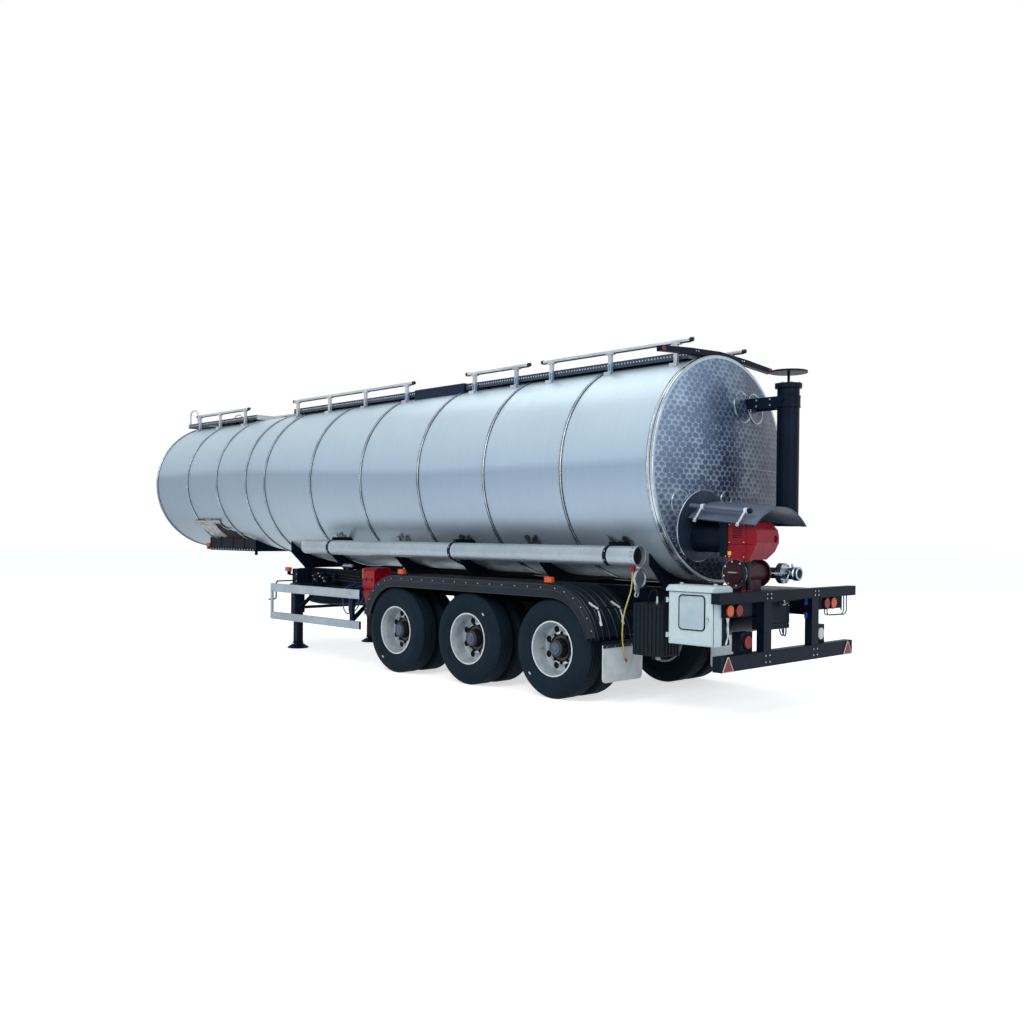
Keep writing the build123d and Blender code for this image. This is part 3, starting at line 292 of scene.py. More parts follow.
class Effects:
    """Builds each shared effect once and places it in materials."""

    def __init__(self) -> None:
        """Make every group."""
        self.groups = {
            Effect.DRIFT: self._drift(), Effect.BRUSHING: self._brushing(), Effect.FILM: self._film(),
            Effect.SWIRL: self._swirl(), Effect.SPECKS: self._specks(),
        }

    @staticmethod
    def _open(
        effect: Effect, takes: Sequence[tuple[str, str, object]], gives: Sequence[tuple[str, str]],
    ) -> tuple:
        """Start a group with named inputs and outputs."""
        tree = bpy.data.node_groups.new(effect.value, "ShaderNodeTree")
        graph = Graph(tree)
        for name, kind, value in takes:
            socket = tree.interface.new_socket(name=name, in_out="INPUT", socket_type="NodeSocket" + kind)
            if value is not None:
                socket.default_value = value
        for name, kind in gives:
            tree.interface.new_socket(name=name, in_out="OUTPUT", socket_type="NodeSocket" + kind)
        return graph, tree.nodes.new("NodeGroupInput"), tree.nodes.new("NodeGroupOutput")

    def _drift(self) -> bpy.types.NodeTree:
        """Slow change between two tones, at two sizes."""
        graph, take, give = self._open(
            Effect.DRIFT,
            [
                ("Vector", "Vector", None), ("Scale", "Float", 3.0), ("First", "Color", (1, 1, 1, 1)),
                ("Second", "Color", (0, 0, 0, 1)),
            ], [("Color", "Color"), ("Mask", "Float")],
        )
        place, scale = take.outputs["Vector"], take.outputs["Scale"]
        large = graph.noise(place, scale, 3.0)
        small = graph.noise(place, graph.times(scale, 9.0), 4.0)
        both = graph.plus(graph.times(large, 0.7), graph.times(small, 0.3))
        mask = graph.ramp(both, 0.36, 0.64)
        graph.put(give, "Color", graph.blend(mask, take.outputs["First"], take.outputs["Second"]))
        graph.put(give, "Mask", mask)
        return graph.tree

    def _brushing(self) -> bpy.types.NodeTree:
        """Fine lines drawn out along one direction by an uneven stretch."""
        graph, take, give = self._open(
            Effect.BRUSHING, [("Vector", "Vector", None), ("Stretch", "Vector", (90.0, 2.0, 2.0))],
            [("Mask", "Float")],
        )
        stretch = graph.tree.nodes.new("ShaderNodeVectorMath")
        stretch.operation = "MULTIPLY"
        graph.put(stretch, 0, take.outputs["Vector"])
        graph.put(stretch, 1, take.outputs["Stretch"])
        lines = graph.noise(stretch.outputs[0], 1.0, 5.0, Roughness=0.65)
        graph.put(give, "Mask", graph.ramp(lines, 0.3, 0.7))
        return graph.tree

    def _film(self) -> bpy.types.NodeTree:
        """Dust that thins out upwards, broken up by noise."""
        graph, take, give = self._open(
            Effect.FILM,
            [
                ("Vector", "Vector", None), ("Top", "Float", 1.2), ("Amount", "Float", 0.3),
                ("Color", "Color", (0, 0, 0, 1)), ("Film", "Color", (0.2, 0.2, 0.2, 1)),
            ], [("Color", "Color"), ("Mask", "Float")],
        )
        height = graph.split(take.outputs["Vector"])[2]
        low = graph.minus(1.0, graph.maths("DIVIDE", height, take.outputs["Top"]))
        broken = graph.ramp(graph.noise(take.outputs["Vector"], 11.0, 6.0, Roughness=0.6), 0.35, 0.7)
        share = graph.times(graph.maths("MAXIMUM", low, 0.08), broken)
        mask = graph.times(share, take.outputs["Amount"])
        graph.put(give, "Color", graph.blend(mask, take.outputs["Color"], take.outputs["Film"]))
        graph.put(give, "Mask", mask)
        return graph.tree

    def _swirl(self) -> bpy.types.NodeTree:
        """Discs polished row over row like scales, seen in Y and Z."""
        graph, take, give = self._open(
            Effect.SWIRL,
            [
                ("Vector", "Vector", None), ("Wide", "Float", 0.1), ("High", "Float", 0.05),
                ("Reach", "Float", 0.6),
            ], [("Radius", "Float"), ("Lean", "Float"), ("Chance", "Float")],
        )
        _, sideward, height = graph.split(take.outputs["Vector"])
        push = graph.times(graph.minus(graph.noise(take.outputs["Vector"], 7.0, 1.0), 0.5), 0.5)
        across = graph.plus(graph.maths("DIVIDE", sideward, take.outputs["Wide"]), push)
        up = graph.plus(graph.maths("DIVIDE", height, take.outputs["High"]), push)
        level = graph.maths("FLOOR", up)
        held = None
        for row in (1.0, 0.0, -1.0):
            line = graph.plus(level, row)
            shifted = graph.plus(across, graph.maths("FRACT", graph.times(line, 0.5)))
            u = graph.minus(graph.maths("FRACT", shifted), 0.5)
            v = graph.times(graph.minus(graph.minus(up, line), 0.5), 0.72)
            far = graph.length(u, v)
            cell = graph.add("ShaderNodeCombineXYZ", X=graph.maths("FLOOR", shifted), Y=line)
            chance = graph.add("ShaderNodeTexWhiteNoise", Vector=cell.outputs[0]).outputs[0]
            if held is None:
                held = [far, v, chance]
                continue
            over = graph.maths("LESS_THAN", far, take.outputs["Reach"])
            under = graph.minus(1.0, over)
            held = [
                graph.plus(graph.times(over, new), graph.times(under, old))
                for new, old in zip((far, v, chance), held)
            ]
        for name, value in zip(("Radius", "Lean", "Chance"), held):
            graph.put(give, name, value)
        return graph.tree

    def _specks(self) -> bpy.types.NodeTree:
        """Scattered small spots."""
        graph, take, give = self._open(
            Effect.SPECKS, [("Vector", "Vector", None), ("Scale", "Float", 60.0), ("Size", "Float", 0.12)],
            [("Mask", "Float")],
        )
        cells = graph.add("ShaderNodeTexVoronoi", Vector=take.outputs["Vector"], Scale=take.outputs["Scale"])
        patches = graph.ramp(graph.noise(take.outputs["Vector"], 5.0, 2.0), 0.45, 0.6)
        near = graph.maths("LESS_THAN", cells.outputs[0], take.outputs["Size"])
        graph.put(give, "Mask", graph.times(near, patches))
        return graph.tree

    def place(self, graph: Graph, effect: Effect, **sockets: object) -> bpy.types.Node:
        """Put an effect into a material's graph.

        Args:
            graph: the material's graph.
            effect: which effect.
            **sockets: its inputs.

        Returns:
            The group node.
        """
        node = graph.tree.nodes.new("ShaderNodeGroup")
        node.node_tree = self.groups[effect]
        for name, value in sockets.items():
            graph.put(node, name, value)
        return node


# Finishes


@dataclass(frozen=True)
class Finish:
    """A plain finish: two tones that drift, brushed or cast relief and road film."""

    name: str
    base: RGB
    second: RGB
    roughness: float = 0.5
    metallic: float = 0.0
    drift: float = 3.0
    stretch: Point = (40.0, 40.0, 40.0)
    relief: float = 0.05
    depth: float = 0.001
    film: float = 0.0
    film_top: float = 1.3
    film_tone: RGB = (0.16, 0.17, 0.18)
    coat: float = 0.0
    uneven: float = 0.12
    specular: float = 0.5

    def start(self) -> tuple[bpy.types.Material, Graph, bpy.types.Node, Socket]:
        """Make the material with its shader and its object coordinates."""
        material = bpy.data.materials.new(self.name)
        material.use_nodes = True
        graph = Graph(material.node_tree)
        output = graph.add("ShaderNodeOutputMaterial")
        shader = graph.add("ShaderNodeBsdfPrincipled")
        graph.put(output, "Surface", shader.outputs[0])
        shader.inputs["Metallic"].default_value = self.metallic
        shader.inputs["Coat Weight"].default_value = self.coat
        shader.inputs["Coat Roughness"].default_value = 0.08
        shader.inputs["Specular IOR Level"].default_value = self.specular
        place = graph.add("ShaderNodeTexCoord").outputs["Object"]
        material.diffuse_color = (*self.base, 1.0)
        return material, graph, shader, place

    def colour(self, effects: Effects, graph: Graph, place: Socket) -> Socket:
        """The finish's colour before its film."""
        drift = effects.place(
            graph, Effect.DRIFT, Vector=place, Scale=self.drift, First=(*self.base, 1.0),
            Second=(*self.second, 1.0),
        )
        return drift.outputs["Color"]

    def dust(self, effects: Effects, graph: Graph, place: Socket, colour: Socket) -> bpy.types.NodeOutputs:
        """The finish's colour under its road film, and the film's mask."""
        return effects.place(
            graph, Effect.FILM, Vector=place, Top=self.film_top, Amount=self.film, Color=colour,
            Film=(*self.film_tone, 1.0),
        ).outputs

    def make(self, effects: Effects) -> bpy.types.Material:
        """Build the whole material.

        Args:
            effects: the shared node groups.

        Returns:
            The finished material.
        """
        material, graph, shader, place = self.start()
        lines = effects.place(graph, Effect.BRUSHING, Vector=place, Stretch=self.stretch).outputs[0]
        colour = self.colour(effects, graph, place)
        shaded = graph.blend(graph.times(lines, self.relief), colour, (0.0, 0.0, 0.0))
        rough = self.roughness
        if self.film > 0.0:
            shaded, mask = self.dust(effects, graph, place, shaded)
            rough = graph.plus(rough, graph.times(mask, 0.5))
        swing = graph.times(graph.minus(lines, 0.5), self.uneven)
        graph.put(shader, "Base Color", shaded)
        graph.put(shader, "Roughness", graph.plus(rough, swing))
        graph.emboss(shader, lines, 0.5, self.depth)
        return material


@dataclass(frozen=True)
class CladdingFinish(Finish):
    """Brushed sheet cladding with a painted reflection by height, lighter above its side seam than below it,
    and painted shade low at its front.
    """

    # The seam, its climb and the tones above and below it paint a reflection by height: the sky's light above
    # the seam, the floor's below it.
    seam: float = 2.43
    climb: tuple[float, float, float] = (-1.5, 3.0, 0.18)
    upper: tuple[float, float] = (0.55, 3.35)
    lower: float = 1.25
    # Painted shade low on the tank's front: the stretch along the tank over which it grows, and the height
    # below which it is full, with its strength.
    ahead: tuple[float, float] = (1.0, 5.6)
    front_shade_fade: tuple[float, float] = (1.7, 0.6)
    patchy: float = 0.12
    # Tones of the painted reflection: towards the top, just above the seam, and low down.
    high: RGB = tint(178, 198, 209)
    seam_reflection: RGB = tint(166, 188, 208)
    low: RGB = tint(184, 200, 211)
    # Tone of the painted shade low on the tank's front.
    front_shade: RGB = tint(92, 108, 122)
    under: RGB = tint(140, 162, 180)
    scratch: RGB = (0.02, 0.03, 0.04)

    def sheet(self, graph: Graph, height: Socket) -> Socket:
        """The sheet's painted reflection by its height: dull to bright up to the seam, and again above it."""
        rise, top = self.upper
        upper = graph.blend(graph.ramp(height, self.seam, top), self.base, self.high)
        near = graph.blend(graph.ramp(height, self.seam, self.seam + rise), self.seam_reflection, upper)
        below = graph.blend(graph.ramp(height, self.lower, self.seam), self.low, self.second)
        return graph.blend(graph.ramp(height, self.seam - 0.05, self.seam + 0.04), below, near)

    def make(self, effects: Effects) -> bpy.types.Material:
        """Build the cladding, whose seam climbs forward, with painted shade low on the tank's front."""
        material, graph, shader, place = self.start()
        along, _, up = graph.split(place)
        start, end, lift = self.climb
        height = graph.minus(up, graph.ramp(along, start, end, 0.0, lift))
        lines = effects.place(graph, Effect.BRUSHING, Vector=place, Stretch=self.stretch).outputs[0]
        wave = graph.noise(place, 1.3, 2.0)
        # Mask of the painted shade low on the tank's front.
        floor, share = self.front_shade_fade
        ahead = graph.times(
            graph.ramp(along, *self.ahead), graph.ramp(height, floor, self.seam + 0.1, share, 0.0),
        )
        front_shaded = graph.blend(ahead, self.sheet(graph, height), self.front_shade)
        toned = graph.blend(graph.ramp(wave, 0.35, 0.7, 0.0, self.patchy), front_shaded, self.under)
        graph.put(shader, "Base Color", graph.blend(graph.times(lines, self.relief), toned, self.scratch))
        swing = graph.times(graph.minus(lines, 0.5), self.uneven)
        graph.put(shader, "Roughness", graph.plus(swing, self.roughness))
        graph.emboss(shader, graph.plus(graph.times(wave, 12.0), graph.times(lines, 0.2)), 0.35, self.depth)
        return material


@dataclass(frozen=True)
class SwirlFinish(Finish):
    """Polished sheet worked all over in discs, with a painted reflection dark at their hearts and pale at their
    rims.
    """

    wide: float = 0.090
    high: float = 0.051
    reach: float = 0.56
    rim: tuple[float, float] = (0.48, 1.02)
    # Painted reflection pale towards the top and the left, and painted shade to the right and low down.
    sky_reflection: RGB = tint(138, 170, 204)
    left_reflection: RGB = tint(170, 192, 214)
    far: RGB = tint(14, 26, 44)
    low_shade: RGB = tint(22, 34, 54)

    def discs(self, graph: Graph, place: Socket, discs: bpy.types.NodeOutputs) -> Socket:
        """The tone of each disc: a painted reflection pale at its rim and on the side that it leans to, changed
        by its own chance.
        """
        inner, outer = self.rim
        rim = graph.ramp(discs["Radius"], self.reach * inner, self.reach * outer)
        lean = graph.ramp(discs["Lean"], -0.35, 0.35, 0.42, -0.42)
        share = graph.plus(graph.maths("POWER", rim, 1.5), lean)
        share = graph.plus(share, graph.ramp(discs["Chance"], 0.0, 1.0, -0.26, 0.22))
        share = graph.plus(share, graph.ramp(graph.noise(place, 1.6, 3.0), 0.3, 0.7, -0.26, 0.34))
        return graph.blend(share, self.base, self.second)

    def make(self, effects: Effects) -> bpy.types.Material:
        """Build the polished end's material, with painted reflection pale towards the top and the left and
        painted shade low and to the right.
        """
        material, graph, shader, place = self.start()
        discs = effects.place(
            graph, Effect.SWIRL, Vector=place, Wide=self.wide, High=self.high, Reach=self.reach,
        ).outputs
        _, side, height = graph.split(place)
        tone = self.discs(graph, place, discs)
        # Lay the painted reflection and painted shade over the whole end by height and side.
        for value, mapped, colour in (
            (height, (2.3, 3.5, 0.0, 0.42), self.sky_reflection), (side, (0.2, 1.15, 0.0, 0.34), self.left_reflection),
            (side, (-0.7, 0.6, 0.74, 0.0), self.far), (height, (1.45, 2.6, 0.8, 0.0), self.low_shade),
        ):
            tone = graph.blend(graph.ramp(value, *mapped), tone, colour)
        graph.put(shader, "Base Color", tone)
        worn = graph.ramp(discs["Radius"], 0.0, self.reach, self.roughness, self.roughness + 0.16)
        graph.put(shader, "Roughness", worn)
        graph.emboss(shader, graph.times(discs["Radius"], discs["Radius"]), 0.4, self.depth)
        return material


@dataclass(frozen=True)
class RimFinish(Finish):
    """Wheel paint: a black hub with a paler disc and barrel round it."""

    hub: RGB = tint(9, 12, 18)
    shadow: RGB = tint(70, 80, 90)
    hub_edge: tuple[float, float] = (0.146, 0.150)
    hollow: tuple[float, float] = (0.175, 0.225)
    axle_pitch: float = 1.310
    axle_z: float = 0.518

    def make(self, effects: Effects) -> bpy.types.Material:
        """Build the wheel paint, ringed about the nearest axle."""
        material, graph, shader, place = self.start()
        along, _, up = graph.split(place)
        low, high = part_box("tyres_left_1")
        turns = graph.maths("DIVIDE", graph.minus(along, (low.x + high.x) / 2.0), self.axle_pitch)
        part = graph.minus(turns, graph.maths("ROUND", turns))
        reach = graph.length(graph.times(part, self.axle_pitch), graph.minus(up, self.axle_z))
        dusty, mask = self.dust(effects, graph, place, self.colour(effects, graph, place))
        dished = graph.blend(graph.ramp(reach, *self.hollow, 0.55, 0.0), dusty, self.shadow)
        graph.put(shader, "Base Color", graph.blend(graph.ramp(reach, *self.hub_edge), self.hub, dished))
        graph.put(shader, "Metallic", graph.ramp(reach, *self.hub_edge, 0.0, self.metallic))
        graph.put(shader, "Roughness", graph.plus(graph.times(mask, 0.3), self.roughness))
        graph.emboss(shader, graph.noise(place, 160.0, 3.0), 0.25, self.depth)
        return material


@dataclass(frozen=True)
class DeckFinish(Finish):
    """Deck plate, pale on top, with painted shade on its side channels."""

    edge: float = 0.443
    # Painted shade of the side channels.
    side: RGB = tint(46, 62, 82)

    def colour(self, effects: Effects, graph: Graph, place: Socket) -> Socket:
        """The deck's colour: painted shade on the side channels, told by how far out they are."""
        plain = super().colour(effects, graph, place)
        out = graph.maths("ABSOLUTE", graph.split(place)[1])
        return graph.blend(graph.ramp(out, self.edge, self.edge + 0.004), plain, self.side)


@dataclass(frozen=True)
class LensFinish(Finish):
    """Moulded lamp lens with fine ribs."""

    pitch: float = 0.008

    def make(self, effects: Effects) -> bpy.types.Material:
        """Build the lens."""
        material, graph, shader, place = self.start()
        turn = 2.0 * math.pi / self.pitch
        across, up = (graph.maths("SINE", graph.times(part, turn)) for part in graph.split(place)[1:])
        relief = graph.times(across, up)
        graph.put(shader, "Base Color", graph.blend(graph.ramp(relief, -1.0, 1.0), self.base, self.second))
        shader.inputs["Roughness"].default_value = self.roughness
        graph.emboss(shader, relief, 0.3, self.depth)
        return material


@dataclass(frozen=True)
class RubberFinish(Finish):
    """Tyre rubber with scuffed, dusty patches."""

    def make(self, effects: Effects) -> bpy.types.Material:
        """Build the rubber."""
        material, graph, shader, place = self.start()
        dusty, mask = self.dust(effects, graph, place, self.colour(effects, graph, place))
        specks = effects.place(graph, Effect.SPECKS, Vector=place, Scale=90.0, Size=0.1).outputs[0]
        graph.put(shader, "Base Color", graph.blend(graph.times(specks, 0.35), dusty, self.film_tone))
        graph.put(shader, "Roughness", graph.plus(self.roughness, graph.times(mask, 0.4)))
        graph.emboss(shader, graph.noise(place, 220.0, 4.0), 0.35, self.depth)
        return material


class Coat(Enum):
    """Every finish on the trailer, by the record's slot or a name of its own."""

    # The cladding's two tones are part of its painted reflection by height.
    CLADDING = CladdingFinish(
        "cladding", tint(190, 212, 223), tint(142, 163, 184), 0.4, 0.45, relief=0.09, depth=0.003,
        stretch=(130.0, 1.6, 1.6), uneven=0.1,
    )
    # The discs of the real polishing pattern get their dark hearts and pale rims as a painted reflection.
    SWIRL = SwirlFinish("swirl_polished", tint(14, 38, 84), tint(176, 196, 214), 0.24, 0.55, depth=0.004)
    POLISHED = Finish(
        "stainless", tint(198, 208, 217), tint(160, 173, 186), 0.2, 0.9, stretch=(6.0, 6.0, 60.0), relief=0.1,
        depth=0.0006,
    )
    BEAD = Finish(
        "bright_bead", tint(176, 188, 197), tint(128, 142, 156), 0.26, 0.85, drift=5.0, stretch=even(30.0),
        relief=0.1, depth=0.0004,
    )
    RAIL = Finish(
        "rail_metal", tint(206, 211, 215), tint(170, 178, 185), 0.36, 0.6, stretch=(3.0, 60.0, 60.0),
        relief=0.12, depth=0.0005,
    )
    TUBE = Finish(
        "tube_metal", tint(168, 181, 190), tint(148, 162, 172), 0.3, 0.5, drift=1.2, stretch=(2.0, 70.0, 70.0),
        relief=0.12, depth=0.0006,
    )
    CHASSIS = Finish(
        "black_steel", tint(7, 17, 31), tint(11, 24, 41), 0.42, drift=5.0, relief=0.2, depth=0.0015, film=0.1,
        film_top=1.6, film_tone=tint(36, 50, 66), specular=0.07,
    )
    GLOSS = Finish(
        "glossy_plastic", tint(20, 34, 48), tint(13, 24, 36), 0.32, drift=8.0, stretch=even(50.0), relief=0.1,
        depth=0.0004, specular=0.3,
    )
    # Painted light: a lighter copy of the dark glossy plastic of the hood's hem, for the hood's lit top.
    HOOD = Finish(
        "hood_paint_lit", tint(96, 108, 127), tint(78, 90, 110), 0.36, drift=4.0, stretch=(3.0, 40.0, 40.0),
        relief=0.12, depth=0.0006, specular=0.35,
    )
    BLUE = Finish("blue_steel", tint(13, 34, 62), tint(10, 26, 50), 0.42, relief=0.15, specular=0.15)
    ACCENT = Finish(
        "blue_fitting", tint(24, 82, 160), tint(16, 58, 124), 0.35, drift=20.0, stretch=even(50.0), relief=0.1,
        specular=0.3,
    )
    SLEEVE = Finish(
        "blue_film", tint(96, 140, 190), tint(66, 112, 168), 0.4, drift=20.0, stretch=even(50.0), relief=0.1,
        specular=0.3,
    )
    DECK = DeckFinish(
        "deck_plate", tint(196, 203, 208), tint(166, 175, 183), 0.4, 0.5, stretch=(3.0, 60.0, 60.0),
        relief=0.12, depth=0.0005,
    )
    # Painted shade, for the dark plate inside the burner's ring on the polished end.
    SHADE = Finish(
        "painted_shade_plate", tint(52, 68, 90), tint(34, 48, 68), 0.34, 0.5, drift=5.0, stretch=even(20.0), relief=0.15,
        depth=0.0006,
    )
    RUBBER = RubberFinish(
        "tyre", tint(14, 27, 37), tint(20, 35, 46), 0.68, film=0.2, film_top=1.0, film_tone=tint(48, 60, 72),
        depth=0.0006, specular=0.08,
    )
    RIM = RimFinish(
        "rim_silver", tint(188, 196, 202), tint(160, 170, 178), 0.4, 0.3, drift=9.0, relief=0.12, depth=0.0008,
        film=0.2, film_tone=tint(90, 98, 104),
    )
    RIMEDGE = Finish(
        "rim_flange", tint(214, 220, 224), tint(186, 194, 200), 0.3, 0.6, drift=9.0, stretch=even(50.0),
        relief=0.08, depth=0.0004,
    )
    HUBCAP = Finish(
        "hub_cap", tint(84, 100, 118), tint(62, 78, 96), 0.4, 0.3, drift=14.0, stretch=even(50.0), relief=0.15,
        depth=0.0005,
    )
    PLASTIC = Finish(
        "dark_plastic", tint(17, 30, 43), tint(11, 21, 32), 0.46, stretch=even(60.0), relief=0.15, depth=0.0008,
        film=0.12, film_tone=tint(50, 64, 78), specular=0.2,
    )
    RIBBED = Finish(
        "black_plastic", tint(16, 28, 40), tint(11, 20, 31), 0.5, stretch=even(80.0), relief=0.15, depth=0.0008,
        film=0.08, film_tone=tint(44, 56, 68), specular=0.16,
    )
    FLAP = Finish(
        "flap_white", tint(212, 219, 223), tint(194, 203, 209), 0.5, drift=7.0, stretch=even(50.0), relief=0.05,
        film=0.3, film_top=0.75, film_tone=tint(120, 128, 134),
    )
    # Dark plastic of real strips and caps, also used for the painted shade under the rails.
    BORDER = Finish(
        "flap_strip", tint(28, 44, 60), tint(20, 32, 46), 0.45, stretch=even(50.0), relief=0.1, specular=0.2,
    )
    GUARD = Finish(
        "guard_grey", tint(178, 190, 198), tint(154, 167, 177), 0.42, 0.35, stretch=(3.0, 80.0, 80.0),
        relief=0.12, depth=0.0006, film=0.2, film_tone=tint(110, 120, 128),
    )
    CABINET = Finish(
        "cabinet_paint", tint(196, 214, 219), tint(182, 202, 208), 0.42, stretch=even(160.0), relief=0.04,
        depth=0.0003, film=0.12, film_tone=tint(110, 118, 122), coat=0.1,
    )
    # Painted reflection: the glass is given the pale tone of the light that it reflects.
    PANE = Finish(
        "window_pane_reflection", tint(176, 196, 205), tint(158, 180, 191), 0.14, drift=6.0, stretch=even(8.0),
        relief=0.06, coat=0.2,
    )
    BURNER = Finish(
        "burner_red", tint(152, 8, 34), tint(112, 5, 26), 0.4, relief=0.1, depth=0.0006, specular=0.22,
    )
    OXIDE = Finish(
        "oxide_red", tint(60, 18, 30), tint(40, 15, 25), 0.44, drift=9.0, relief=0.2, depth=0.0016,
        specular=0.2,
    )
    SIGNAL = Finish(
        "red_plastic", tint(172, 12, 34), tint(136, 8, 26), 0.34, relief=0.05, depth=0.0004, specular=0.25,
    )
    LENS_RED = LensFinish(
        "lamp_red", tint(146, 10, 30), tint(90, 6, 20), 0.3, coat=0.1, depth=0.0008, specular=0.25,
    )
    LENS_AMBER = LensFinish(
        "lamp_amber", tint(222, 96, 34), tint(180, 64, 20), 0.3, coat=0.1, depth=0.0008, specular=0.3,
    )
    LENS_WHITE = LensFinish(
        "lamp_white", tint(206, 213, 222), tint(170, 182, 194), 0.15, coat=0.4, depth=0.0008,
    )
    CORD = Finish(
        "cord_yellow", tint(218, 209, 108), tint(190, 178, 80), 0.45, drift=14.0, stretch=(90.0, 90.0, 20.0),
        relief=0.1, depth=0.0004,
    )
    HOSE = Finish(
        "hose_rubber", tint(12, 19, 28), tint(20, 28, 37), 0.5, stretch=(30.0, 30.0, 240.0), relief=0.2,
        depth=0.0006, specular=0.2,
    )
    ZINC = Finish(
        "zinc", tint(198, 206, 213), tint(150, 160, 171), 0.3, 0.8, drift=20.0, stretch=even(50.0), relief=0.12,
        depth=0.0005,
    )
    FOIL = Finish(
        "crumpled_foil", tint(168, 172, 172), tint(86, 92, 98), 0.3, 0.8, drift=14.0, stretch=even(24.0),
        relief=0.25, depth=0.004,
    )
    WHITE = Finish("white_edge", tint(218, 224, 228), tint(196, 204, 210), 0.4, stretch=even(60.0), relief=0.05)
    # Dark finish of real black parts, also used for sheets and discs of painted shade in the hand holes, the
    # tube's bore and the nose opening.
    DARK = Finish(
        "dark_parts_and_shade", tint(7, 11, 18), tint(12, 18, 26), 0.6, stretch=even(60.0), relief=0.1, specular=0.1,
    )
    YELLOW = Finish(
        "caution_yellow", tint(228, 200, 56), tint(208, 180, 42), 0.4, stretch=even(60.0), relief=0.05,
    )
    OCHRE = Finish("ochre", tint(190, 140, 58), tint(160, 114, 44), 0.4, stretch=even(60.0), relief=0.05)


class Paintbox:
    """Makes each finish once, when it is first asked for."""

    def __init__(self) -> None:
        """Start with the shared effects and no materials."""
        self.effects = Effects()
        self.made: dict[Coat, bpy.types.Material] = {}

    def get(self, coat: Coat) -> bpy.types.Material:
        """The material of a finish."""
        if coat not in self.made:
            self.made[coat] = coat.value.make(self.effects)
        return self.made[coat]

    def dress(self, obj: Piece, coat: Coat) -> None:
        """Give an object one finish all over."""
        material = self.get(coat)
        obj.data.materials.clear()
        obj.data.materials.append(material)


# Bench work


